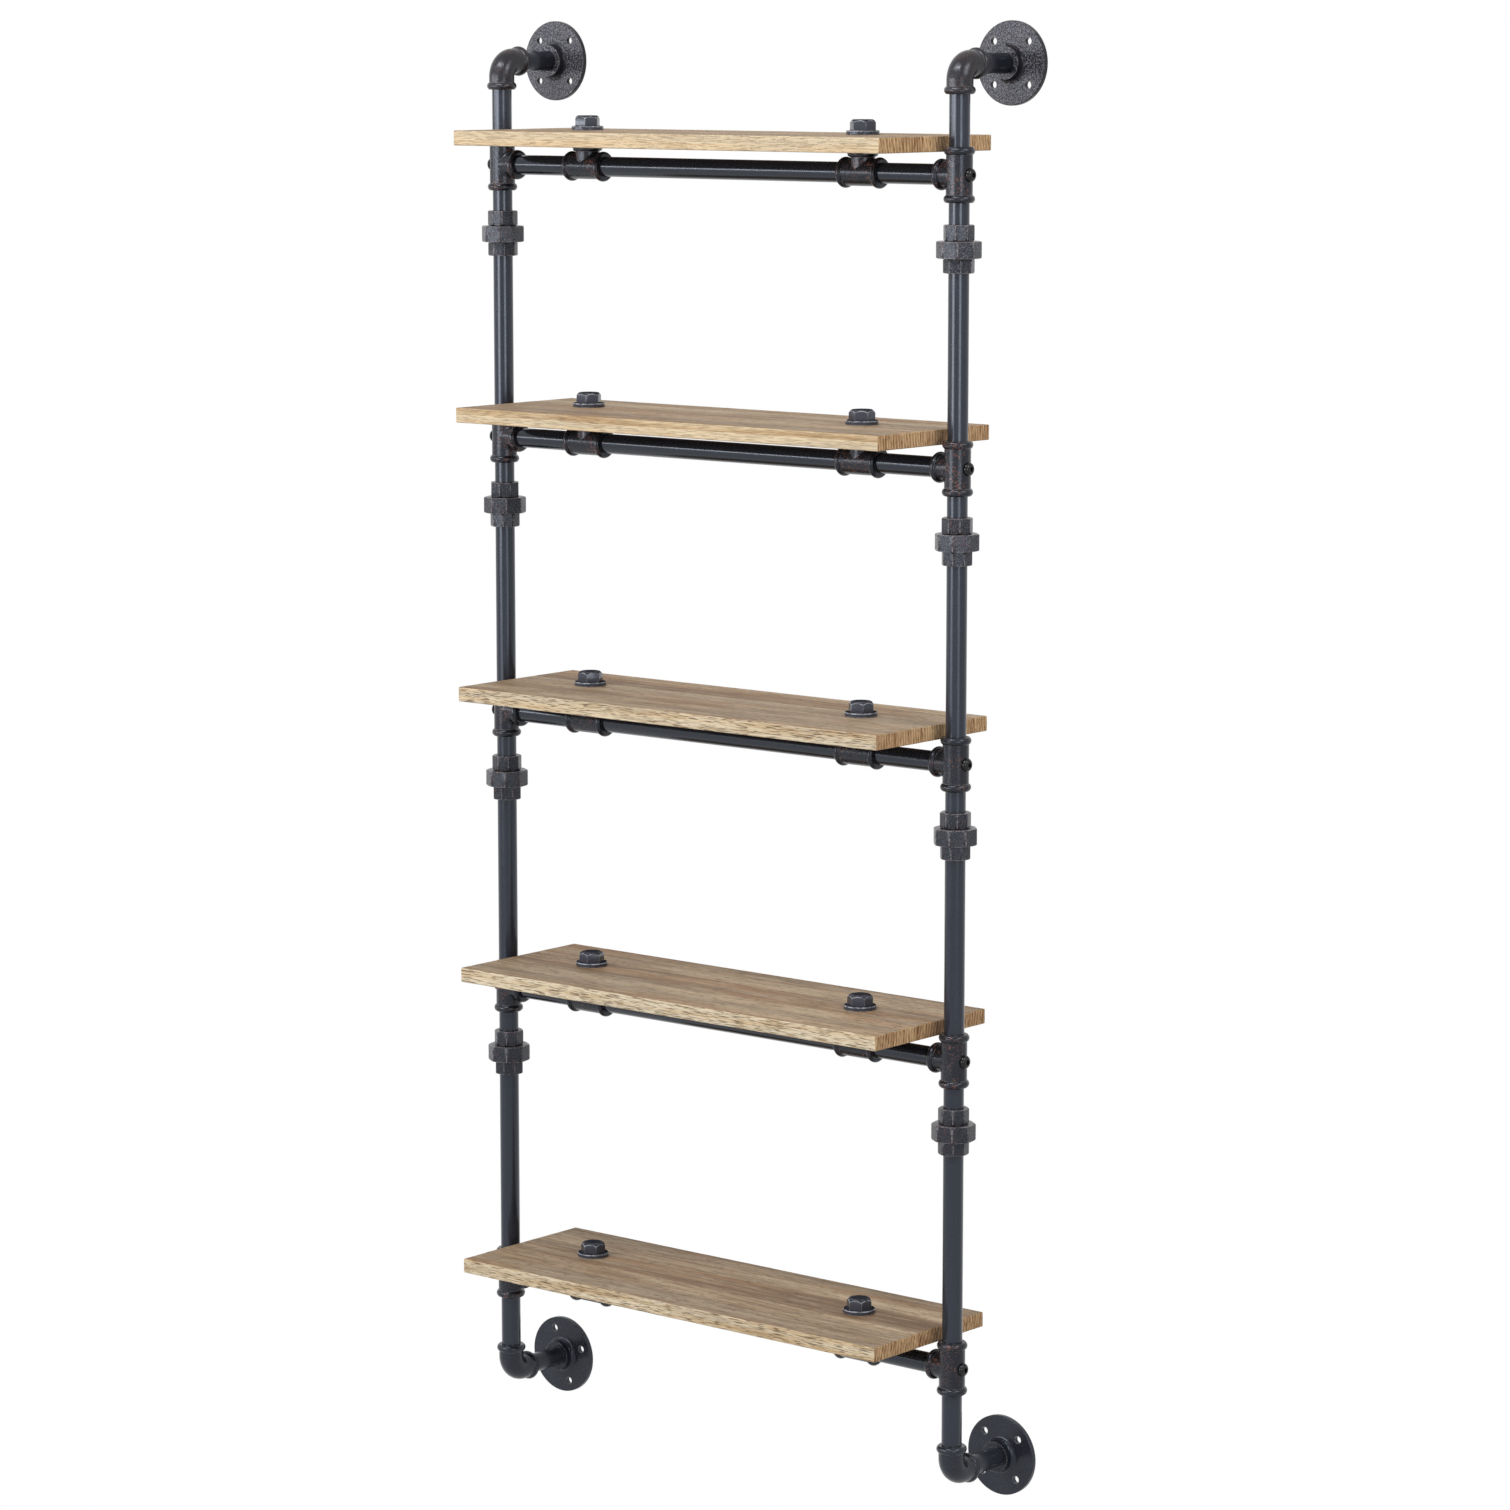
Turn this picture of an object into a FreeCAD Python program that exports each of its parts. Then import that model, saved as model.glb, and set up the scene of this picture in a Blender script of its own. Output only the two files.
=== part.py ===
# Wall-hung shelving unit of threaded pipe: two uprights, five cross rails and five boards.
# Millimetres. X runs along the shelves, Y towards the wall and Z up. The origin lies on the wall,
# midway between the four flanges.
import FreeCAD, Part
import Sketcher
import math
import os

DRIVING_SIZES = [
    ("pipe_diameter", 21.3, "outside of every pipe and nipple"),
    ("pipe_wall", 2.8, "wall of every pipe and nipple"),
    ("thread_clearance", 0.15, "gap all round a pipe in its socket"),
    ("thread_engagement", 13, "length of pipe inside a fitting"),
    ("upright_gap", 12.35, "between a board's end and the upright pipe"),
    ("wall_distance", 90, "from the upright axis to the wall"),
    ("top_drop", 111, "top elbow axis down to the first rail"),
    ("first_bay", 296, "first rail down to the second"),
    ("second_bay", 303, "second rail down to the third"),
    ("third_bay", 310, "third rail down to the fourth"),
    ("fourth_bay", 327, "fourth rail down to the fifth"),
    ("bottom_drop", 114, "fifth rail down to the bottom elbow axis"),
    ("fitting_wall", 2.9, "wall of tees and elbows"),
    ("band_width", 7.8, "length of the rolled band at the mouth of an upright tee or elbow"),
    ("shelf_tee_band_width", 6.5, "length of that band on a shelf tee"),
    ("band_height", 2.3, "how far a band stands out from the body"),
    ("tee_run_leg", 14.3, "upright tee, run beyond the branch's body"),
    ("tee_branch_leg", 12.3, "upright tee, branch beyond the run's body"),
    ("shelf_tee_run_leg", 11.6, "shelf tee, run beyond the branch's body"),
    ("shelf_tee_branch_leg", 8.8, "shelf tee, branch beyond the run's body"),
    ("tee_branch_taper", 0.8, "how much slimmer a branch is than its run"),
    ("tee_crotch_radius", 4, "upright tee, cast fillet between run and branch"),
    ("shelf_tee_crotch_radius", 2, "shelf tee, cast fillet between run and branch"),
    ("elbow_leg", 13.5, "straight part of an elbow beyond its bend"),
    ("elbow_throat", 3.3, "radius inside an elbow's bend"),
    ("flange_diameter", 86, "outside of a wall flange"),
    ("flange_thickness", 5, "plate of a wall flange"),
    ("flange_hub_wall", 5.7, "wall of the hub round its socket"),
    ("flange_hub_height", 15, "hub's mouth in front of the wall"),
    ("flange_hub_fillet", 5, "cast fillet between hub and plate"),
    ("flange_engagement", 12, "length of wall nipple inside a flange"),
    ("flange_edge", 1, "rounding of the plate's rim"),
    ("bolt_inset", 12, "flange's rim to the middle of a wall screw hole"),
    ("bolt_hole", 8, "wall screw hole"),
    ("top_flange_turn", 45, "degrees from level to the first hole, top flanges"),
    ("lower_left_turn", 70, "the same, lower left flange"),
    ("lower_right_turn", 48, "the same, lower right flange"),
    ("union_drop", 75, "rail axis down to the middle of the union nut"),
    ("union_turn", 17, "degrees that a union's ends are turned from flat to the side"),
    ("nut_turn", 13, "degrees that a union's nut is turned from flat to the side"),
    ("union_end_wall", 4.2, "socket to flat of a union's ends"),
    ("union_upper_length", 16, "eight-sided part of the upper end"),
    ("union_lower_length", 14.5, "eight-sided part of the lower end"),
    ("union_gap", 0.4, "between the nut and each end"),
    ("union_tail_wall", 3.2, "wall of the tail inside the nut"),
    ("union_shoulder_step", 3.4, "how far the shoulder stands out from the tail"),
    ("union_shoulder_thickness", 4, "length of the shoulder that the nut pulls"),
    ("union_thread_step", 0.8, "how far the thread stands out from the shoulder"),
    ("nut_length", 17.5, "length of the union nut"),
    ("nut_wall", 3.15, "thread to flat of the union nut"),
    ("nut_lip", 4.5, "lip of the nut that bears on the shoulder"),
    ("nut_chamfer", 0.5, "chamfer circle inside the flats of the nut and the union's ends"),
    ("board_length", 578, "along the wall"),
    ("board_thickness", 16, "glued oak strips"),
    ("board_depth", 186, "out from the wall"),
    ("board_wall_gap", 6, "between the back edge and the wall"),
    ("board_edge", 1, "rounding of the board's edges"),
    ("board_hole_clearance", 0.5, "gap round a plug's shank in the board"),
    ("plug_inset", 101, "board's end to a plug's axis"),
    ("plug_turn", 50, "degrees that a plug is turned from flat to the side"),
    ("plug_flats", 24, "across the flats of the plug's head"),
    ("plug_hex_height", 11.2, "six-sided part of the head"),
    ("plug_chamfer", 1.4, "chamfer circle inside the flats of the head"),
    ("plug_crown_radius", 1.5, "rounding between the head's chamfer and its flat top"),
    ("plug_flange_diameter", 34.4, "round flange under the head"),
    ("plug_flange_thickness", 4.4, "that flange's thickness"),
    ("plug_flange_rounding", 0.8, "rounding of that flange's upper rim"),
    ("plug_tip_gap", 0.85, "plug's tip above the rail pipes"),
    ("screw_diameter", 8, "screw through the upright tee"),
    ("screw_length", 36, "under the head"),
    ("screw_hole_clearance", 0.3, "gap round the screw in the tee's wall"),
    ("screw_head_diameter", 14, "button head"),
    ("screw_head_height", 4.2, "button head"),
    ("screw_head_rim", 1.2, "straight rim of the button head"),
    ("screw_crown_diameter", 7.5, "flat top of the button head"),
    ("screw_crown_bow", 0.75, "how far the button head's crown bows out"),
    ("screw_recess_flats", 5, "hexagon recess in the head"),
    ("screw_recess_depth", 2.4, "hexagon recess in the head"),
    ("insert_length", 12, "threaded insert in a rail's end"),
    ("insert_clearance", 0.1, "gap between insert, pipe and screw"),
]
SIDES = {"left": -1, "right": 1}
HALF_TURN = 180
QUARTER_TURN = 90
FLANGE_HOLES = 4
UNION_SIDES = 8
PLUG_SIDES = 6
NUT_CHAMFER_SLOPE = math.tan(math.radians(30))
PLUG_CHAMFER_SLOPE = math.tan(math.radians(45))
QUARTER_ROUND_BOW = 1 - math.sqrt(0.5)
LENGTH_TOLERANCE = 1e-4

doc = FreeCAD.newDocument("pipe_shelving_unit")
sheet = doc.addObject("Spreadsheet::Sheet", "sizes")


class Size:
    """A number together with the spreadsheet expression that gives it, so that both stay in step."""

    def __init__(self, value, text):
        self.value = value
        self.text = text

    def __add__(self, other):
        other = as_size(other)
        return Size(self.value + other.value, f"({self.text} + {other.text})")

    def __sub__(self, other):
        other = as_size(other)
        return Size(self.value - other.value, f"({self.text} - {other.text})")

    def __mul__(self, other):
        other = as_size(other)
        return Size(self.value * other.value, f"({self.text} * {other.text})")

    def __truediv__(self, other):
        other = as_size(other)
        return Size(self.value / other.value, f"({self.text} / {other.text})")

    def __neg__(self):
        return Size(-self.value, f"(0 - {self.text})")


def as_size(number):
    return number if isinstance(number, Size) else Size(number, repr(number))


size = {}
for row, (alias, number, meaning) in enumerate(DRIVING_SIZES, start=1):
    sheet.set(f"A{row}", alias)
    sheet.set(f"B{row}", str(number))
    sheet.set(f"C{row}", meaning)
    sheet.setAlias(f"B{row}", alias)
    size[alias] = Size(number, f"sizes.{alias}")
doc.recompute()

# Sizes that several pieces share
ZERO = as_size(0)
pipe_radius = size["pipe_diameter"] / 2
pipe_bore = pipe_radius - size["pipe_wall"]
socket = pipe_radius + size["thread_clearance"]
fitting_radius = socket + size["fitting_wall"]
tee_run = fitting_radius + size["tee_run_leg"]
tee_branch = fitting_radius + size["tee_branch_leg"]
shelf_tee_run = fitting_radius + size["shelf_tee_run_leg"]
shelf_tee_branch = fitting_radius + size["shelf_tee_branch_leg"]
elbow_bend = fitting_radius + size["elbow_throat"]
elbow_reach = elbow_bend + size["elbow_leg"]
board_end = size["board_length"] / 2
upright_x = board_end + size["upright_gap"] + pipe_radius
upright_y = -size["wall_distance"]
plug_x = board_end - size["plug_inset"]

# Heights of the elbows and of the five rails
bays = [size["first_bay"], size["second_bay"], size["third_bay"], size["fourth_bay"]]
elbow_spacing = size["top_drop"] + bays[0] + bays[1] + bays[2] + bays[3] + size["bottom_drop"]
top_elbow_z = elbow_spacing / 2
bottom_elbow_z = -top_elbow_z
rail_z = [top_elbow_z - size["top_drop"]]
for bay in bays:
    rail_z.append(rail_z[-1] - bay)


def bind(item, place, amount):
    item.setExpression(place, as_size(amount).text)


def put(item, x, y, z, axis=(0, 0, 1), angle=0):
    """Places a piece: its own origin at x, y, z, turned by an angle in degrees about an axis."""
    rotation = FreeCAD.Rotation(FreeCAD.Vector(axis), as_size(angle).value)
    item.Placement = FreeCAD.Placement(FreeCAD.Vector(), rotation)
    bind(item, "Placement.Base.x", x)
    bind(item, "Placement.Base.y", y)
    bind(item, "Placement.Base.z", z)
    if isinstance(angle, Size):
        bind(item, "Placement.Rotation.Angle", angle)
    return item


def new_body(label):
    body = doc.addObject("PartDesign::Body", label)
    body.Label = label
    return body


def group(label, bodies):
    """Like pieces that share one name: separate solids side by side."""
    compound = doc.addObject("Part::Compound", label)
    compound.Label = label
    compound.Links = bodies
    return compound


def new_sketch(body, plane, height=None):
    """A sketch on one of the body's own planes, lifted along the plane's normal by height."""
    sketch = body.newObject("Sketcher::SketchObject", "sketch")
    support = [feature for feature in body.Origin.OriginFeatures if feature.Role == plane]
    sketch.AttachmentSupport = [(support[0], "")]
    sketch.MapMode = "FlatFace"
    if height is not None:
        bind(sketch, "AttachmentOffset.Base.z", height)
    return sketch


def fix_point(sketch, line, end, corner):
    """Holds one end of a sketch line at a corner measured from the sketch's origin."""
    for kind, amount in zip(("DistanceX", "DistanceY"), corner):
        index = sketch.addConstraint(Sketcher.Constraint(kind, -1, 1, line, end, as_size(amount).value))
        bind(sketch, f"Constraints[{index}]", amount)


def outline(sketch, corners, bows=()):
    """Closed outline, anticlockwise through the corners. bows gives, for the segment that starts at
    a corner's number, how far that segment bows outwards as an arc."""
    bows = dict(bows)
    points = [FreeCAD.Vector(as_size(x).value, as_size(y).value, 0) for x, y in corners]
    first = sketch.GeometryCount
    count = len(corners)
    for number, start in enumerate(points):
        end = points[(number + 1) % count]
        if number in bows:
            chord = end - start
            outwards = FreeCAD.Vector(chord.y, -chord.x, 0).normalize()
            crest = (start + end) / 2 + outwards * bows[number].value
            sketch.addGeometry(Part.Arc(start, crest, end), False)
        else:
            sketch.addGeometry(Part.LineSegment(start, end), False)
    for number in range(count):
        line = first + number
        sketch.addConstraint(Sketcher.Constraint("Coincident", line, 2, first + (number + 1) % count, 1))
        fix_point(sketch, line, 1, corners[number])
    for number, rise in bows.items():
        (x0, y0), (x1, y1) = corners[number], corners[(number + 1) % count]
        across, along = as_size(x1) - x0, as_size(y1) - y0
        radius = (across * across + along * along) / (rise * 8) + rise / 2
        index = sketch.addConstraint(Sketcher.Constraint("Radius", first + number, radius.value))
        bind(sketch, f"Constraints[{index}]", radius)


def circle(sketch, radius, x=ZERO, y=ZERO):
    centre = FreeCAD.Vector(as_size(x).value, as_size(y).value, 0)
    line = sketch.addGeometry(Part.Circle(centre, FreeCAD.Vector(0, 0, 1), radius.value), False)
    fix_point(sketch, line, 3, (x, y))
    index = sketch.addConstraint(Sketcher.Constraint("Radius", line, radius.value))
    bind(sketch, f"Constraints[{index}]", radius)


def turned(body, plane, axis, corners, bows=(), kind="PartDesign::Revolution"):
    """Turns an outline about the sketch's own axis, V_Axis or H_Axis."""
    sketch = new_sketch(body, plane)
    outline(sketch, corners, bows)
    feature = body.newObject(kind, "turned")
    feature.Profile = sketch
    feature.ReferenceAxis = (sketch, [axis])
    return feature


def bored(body, plane, axis, corners):
    """Cuts a turned outline out of the body."""
    return turned(body, plane, axis, corners, kind="PartDesign::Groove")


def upright_block(radius, low, high):
    """Half section, beside the V axis, of a cylinder between two heights."""
    return [(ZERO, low), (radius, low), (radius, high), (ZERO, high)]


def level_block(radius, start, end):
    """Half section, above the H axis, of a cylinder between two places."""
    return [(start, ZERO), (end, ZERO), (end, radius), (start, radius)]


def padded(body, sketch, length):
    feature = body.newObject("PartDesign::Pad", "pad")
    feature.Profile = sketch
    bind(feature, "Length", length)
    return feature


def rounded(body, base, radius, wanted):
    """Fillets the edges of the base feature that the test called wanted picks."""
    doc.recompute()
    edges = base.Shape.Edges
    feature = body.newObject("PartDesign::Fillet", "fillet")
    feature.Base = (base, [f"Edge{number}" for number, edge in enumerate(edges, start=1) if wanted(edge)])
    bind(feature, "Radius", radius)
    return feature


def is_straight(edge):
    return edge.Curve.TypeId == "Part::GeomLine"


def is_level_circle(edge, z):
    """True for a level circle at a height."""
    if edge.Curve.TypeId != "Part::GeomCircle":
        return False
    return math.isclose(edge.Curve.Center.z, z, abs_tol=LENGTH_TOLERANCE)


def is_free_curve(edge):
    return edge.Curve.TypeId == "Part::GeomBSplineCurve"


def polygon(flats, sides):
    """Corners of a regular polygon from its size across flats, with a flat facing +X."""
    corner_radius = flats / (2 * math.cos(math.pi / sides))
    angles = [(2 * number - 1) * math.pi / sides for number in range(sides)]
    return [(corner_radius * math.cos(angle), corner_radius * math.sin(angle)) for angle in angles]


def chamfer_ring(flats, sides, chamfer, slope, level, inwards):
    """Triangle that takes the corners off a prism's end. inwards is -1 at its top and 1 at its foot."""
    corner_radius = flats / (2 * math.cos(math.pi / sides))
    inner = flats / 2 - chamfer
    outer = corner_radius + chamfer
    depth = (outer - inner) * slope * inwards
    ring = [(inner, level), (outer, level), (outer, as_size(level) + depth)]
    return ring if inwards > 0 else [ring[0], ring[2], ring[1]]


def pipe(label, length):
    """Plain tube standing on its own origin."""
    body = new_body(label)
    section = [(pipe_bore, ZERO), (pipe_radius, ZERO), (pipe_radius, length), (pipe_bore, length)]
    turned(body, "XZ_Plane", "V_Axis", section)
    return body


def tee(label, run, branch, width, crotch, screw_hole):
    """Cast tee with its run along Z and its branch along +X. Its mouths have rolled bands."""
    body = new_body(label)
    height = size["band_height"]
    branch_radius = fitting_radius - size["tee_branch_taper"]
    run_section = [(ZERO, -run), (fitting_radius, -run), (fitting_radius, width - run),
                   (fitting_radius, run - width), (fitting_radius, run), (ZERO, run)]
    turned(body, "XZ_Plane", "V_Axis", run_section, {1: height, 3: height})
    branch_section = [(ZERO, ZERO), (branch, ZERO), (branch, branch_radius),
                      (branch - width, branch_radius), (ZERO, branch_radius)]
    joined = turned(body, "XZ_Plane", "H_Axis", branch_section, {2: height + size["tee_branch_taper"]})
    rounded(body, joined, crotch, is_free_curve)
    bored(body, "XZ_Plane", "V_Axis", upright_block(socket, -run, run))
    bored(body, "XZ_Plane", "H_Axis", level_block(socket, ZERO, branch))
    if screw_hole:
        hole = size["screw_diameter"] / 2 + size["screw_hole_clearance"]
        bored(body, "XZ_Plane", "H_Axis", level_block(hole, -run, ZERO))
    return body


def elbow(label):
    """Cast elbow: one mouth faces down, the other faces +Y. The two axes cross at its origin."""
    body = new_body(label)
    width, height = size["band_width"], size["band_height"]
    bend, reach, depth = elbow_bend, elbow_reach, size["thread_engagement"]
    down = [(ZERO, -reach), (fitting_radius, -reach), (fitting_radius, width - reach),
            (fitting_radius, -bend), (ZERO, -bend)]
    turned(body, "YZ_Plane", "V_Axis", down, {1: height})
    back = [(bend, ZERO), (reach, ZERO), (reach, fitting_radius),
            (reach - width, fitting_radius), (bend, fitting_radius)]
    turned(body, "YZ_Plane", "H_Axis", back, {2: height})
    sweeps = {"PartDesign::AdditivePipe": fitting_radius, "PartDesign::SubtractivePipe": pipe_bore}
    for kind, radius in sweeps.items():
        section = new_sketch(body, "XY_Plane", -bend)
        circle(section, radius)
        path = new_sketch(body, "YZ_Plane")
        swept_arc(path, bend)
        swept = body.newObject(kind, "bend")
        swept.Profile = section
        swept.Spine = (path, ["Edge1"])
    bored(body, "YZ_Plane", "V_Axis", upright_block(socket, -reach, depth - reach))
    bored(body, "YZ_Plane", "H_Axis", level_block(socket, reach - depth, reach))
    bored(body, "YZ_Plane", "V_Axis", upright_block(pipe_bore, -reach, -bend))
    bored(body, "YZ_Plane", "H_Axis", level_block(pipe_bore, bend, reach))
    return body


def swept_arc(path, bend):
    """Quarter circle from the foot of the bend at (0, -bend) to its back at (bend, 0)."""
    radius = bend.value
    middle = FreeCAD.Vector(radius, -radius, 0)
    low = FreeCAD.Vector(0, -radius, 0)
    back = FreeCAD.Vector(radius, 0, 0)
    crest = middle + FreeCAD.Vector(-radius, radius, 0) / math.sqrt(2)
    line = path.addGeometry(Part.Arc(low, crest, back), False)
    fix_point(path, line, 3, (bend, -bend))
    fix_point(path, line, 1, (bend, ZERO))
    index = path.addConstraint(Sketcher.Constraint("DistanceY", -1, 1, line, 2, -radius))
    bind(path, f"Constraints[{index}]", -bend)


def flange(label):
    """Cast wall flange: back face in its own XZ plane, hub towards -Y, first hole on +X."""
    body = new_body(label)
    hub = socket + size["flange_hub_wall"]
    plate, rim = size["flange_thickness"], size["flange_diameter"] / 2
    mouth = size["flange_hub_height"]
    section = [(-mouth, ZERO), (ZERO, ZERO), (ZERO, rim), (-plate, rim), (-plate, hub), (-mouth, hub)]
    solid = turned(body, "YZ_Plane", "H_Axis", section)
    front = -plate.value
    foot = rounded(body, solid, size["flange_hub_fillet"], lambda edge: edge_at(edge, front, hub.value))
    rounded(body, foot, size["flange_edge"], lambda edge: edge_at(edge, front, rim.value))
    bored(body, "YZ_Plane", "H_Axis", level_block(socket, -mouth, ZERO))
    holes = new_sketch(body, "XZ_Plane")
    circle(holes, size["bolt_hole"] / 2, rim - size["bolt_inset"])
    drilled = body.newObject("PartDesign::Pocket", "wall_screw_hole")
    drilled.Profile = holes
    drilled.Type = "ThroughAll"
    drilled.Midplane = True
    pattern = body.newObject("PartDesign::PolarPattern", "wall_screw_holes")
    pattern.Originals = [drilled]
    pattern.Axis = (holes, ["N_Axis"])
    pattern.Occurrences = FLANGE_HOLES
    body.Tip = pattern
    return body


def edge_at(edge, y, radius):
    """True for a full circle about the Y axis at a place and of a radius."""
    if edge.Curve.TypeId != "Part::GeomCircle":
        return False
    same_place = math.isclose(edge.Curve.Center.y, y, abs_tol=LENGTH_TOLERANCE)
    same_radius = math.isclose(edge.Curve.Radius, radius, abs_tol=LENGTH_TOLERANCE)
    return same_place and same_radius


# A union, from the seat where its two ends meet
tail_radius = socket + size["union_tail_wall"]
shoulder_radius = tail_radius + size["union_shoulder_step"]
thread_radius = shoulder_radius + size["union_thread_step"]
nut_bore = thread_radius + size["thread_clearance"]
nut_flats = (nut_bore + size["nut_wall"]) * 2
union_flats = (socket + size["union_end_wall"]) * 2
nut_top = size["union_shoulder_thickness"] + size["nut_lip"]
nut_foot = nut_top - size["nut_length"]
upper_foot = nut_top + size["union_gap"]
upper_top = upper_foot + size["union_upper_length"]
lower_top = nut_foot - size["union_gap"]
lower_foot = lower_top - size["union_lower_length"]
seat_above_nut_middle = size["nut_length"] / 2 - nut_top


def prism(body, flats, sides, low, length):
    sketch = new_sketch(body, "XY_Plane", low)
    outline(sketch, polygon(flats, sides))
    return padded(body, sketch, length)


def union_upper_end(label):
    """Eight-sided socket whose tail hangs through the nut and ends in the shoulder that the nut pulls."""
    body = new_body(label)
    prism(body, union_flats, UNION_SIDES, upper_foot, size["union_upper_length"])
    bored(body, "XZ_Plane", "V_Axis",
          chamfer_ring(union_flats, UNION_SIDES, size["nut_chamfer"], NUT_CHAMFER_SLOPE, upper_top, -1))
    shoulder = size["union_shoulder_thickness"]
    tail = [(ZERO, ZERO), (shoulder_radius, ZERO), (shoulder_radius, shoulder), (tail_radius, shoulder),
            (tail_radius, upper_foot), (ZERO, upper_foot)]
    turned(body, "XZ_Plane", "V_Axis", tail)
    bored(body, "XZ_Plane", "V_Axis", upright_block(pipe_bore, ZERO, upper_top))
    socket_foot = upper_top - size["thread_engagement"]
    bored(body, "XZ_Plane", "V_Axis", upright_block(socket, socket_foot, upper_top))
    return body


def union_lower_end(label):
    """Eight-sided socket whose threaded neck stands up inside the nut and carries the seat."""
    body = new_body(label)
    prism(body, union_flats, UNION_SIDES, lower_foot, size["union_lower_length"])
    bored(body, "XZ_Plane", "V_Axis",
          chamfer_ring(union_flats, UNION_SIDES, size["nut_chamfer"], NUT_CHAMFER_SLOPE, lower_foot, 1))
    turned(body, "XZ_Plane", "V_Axis", upright_block(thread_radius, lower_top, ZERO))
    bored(body, "XZ_Plane", "V_Axis", upright_block(pipe_bore, lower_foot, ZERO))
    socket_top = lower_foot + size["thread_engagement"]
    bored(body, "XZ_Plane", "V_Axis", upright_block(socket, lower_foot, socket_top))
    return body


def union_nut(label):
    """Eight-sided nut: threaded on the lower end, with a lip that bears on the upper end's shoulder."""
    body = new_body(label)
    prism(body, nut_flats, UNION_SIDES, nut_foot, size["nut_length"])
    for level, inwards in ((nut_top, -1), (nut_foot, 1)):
        bored(body, "XZ_Plane", "V_Axis",
              chamfer_ring(nut_flats, UNION_SIDES, size["nut_chamfer"], NUT_CHAMFER_SLOPE, level, inwards))
    lip_bore = tail_radius + size["thread_clearance"]
    bored(body, "XZ_Plane", "V_Axis", upright_block(lip_bore, nut_foot, nut_top))
    bored(body, "XZ_Plane", "V_Axis", upright_block(nut_bore, nut_foot, size["union_shoulder_thickness"]))
    return body


def shelf_board(label):
    """Glued oak board: its underside in its own XY plane, the upright axis at Y 0, a hole for each plug."""
    body = new_body(label)
    back = size["wall_distance"] - size["board_wall_gap"]
    front = back - size["board_depth"]
    sketch = new_sketch(body, "XY_Plane")
    outline(sketch, [(-board_end, front), (board_end, front), (board_end, back), (-board_end, back)])
    hole = pipe_radius + size["board_hole_clearance"]
    circle(sketch, hole, -plug_x)
    circle(sketch, hole, plug_x)
    slab = padded(body, sketch, size["board_thickness"])
    rounded(body, slab, size["board_edge"], is_straight)
    return body


def shelf_plug(label):
    """Plug with a flanged six-sided head. The flange's underside is in its own XY plane."""
    body = new_body(label)
    flange_top = size["plug_flange_thickness"]
    head_top = flange_top + size["plug_hex_height"]
    prism(body, size["plug_flats"], PLUG_SIDES, flange_top, size["plug_hex_height"])
    corners_off = chamfer_ring(size["plug_flats"], PLUG_SIDES, size["plug_chamfer"],
                               PLUG_CHAMFER_SLOPE, head_top, -1)
    chamfered = bored(body, "XZ_Plane", "V_Axis", corners_off)
    rounded(body, chamfered, size["plug_crown_radius"], lambda edge: is_level_circle(edge, head_top.value))
    tip = pipe_radius + size["plug_tip_gap"] - shelf_tee_branch - size["board_thickness"]
    rim, rounding = size["plug_flange_diameter"] / 2, size["plug_flange_rounding"]
    section = [(ZERO, tip), (pipe_radius, tip), (pipe_radius, ZERO), (rim, ZERO),
               (rim, flange_top - rounding), (rim - rounding, flange_top), (ZERO, flange_top)]
    turned(body, "XZ_Plane", "V_Axis", section, {4: rounding * QUARTER_ROUND_BOW})
    return body


def tee_screw(label):
    """Button-head screw along X: the head's seat at X 0, the head towards +X."""
    body = new_body(label)
    shank, head = size["screw_diameter"] / 2, size["screw_head_diameter"] / 2
    rim, crown = size["screw_head_rim"], size["screw_head_height"]
    crown_radius = size["screw_crown_diameter"] / 2
    tip = -size["screw_length"]
    section = [(tip, ZERO), (crown, ZERO), (crown, crown_radius), (rim, head), (ZERO, head),
               (ZERO, shank), (tip, shank)]
    turned(body, "XZ_Plane", "H_Axis", section, {2: size["screw_crown_bow"]})
    recess = new_sketch(body, "YZ_Plane", crown)
    outline(recess, polygon(size["screw_recess_flats"], PLUG_SIDES))
    cut = body.newObject("PartDesign::Pocket", "recess")
    cut.Profile = recess
    bind(cut, "Length", size["screw_recess_depth"])
    return body


def rail_insert(label):
    """Threaded insert along X, flush with the rail's end at X 0 and reaching towards -X."""
    body = new_body(label)
    outer = pipe_bore - size["insert_clearance"]
    inner = size["screw_diameter"] / 2 + size["insert_clearance"]
    turned(body, "XZ_Plane", "H_Axis",
           [(-size["insert_length"], inner), (ZERO, inner), (ZERO, outer), (-size["insert_length"], outer)])
    return body


pieces = []

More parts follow.
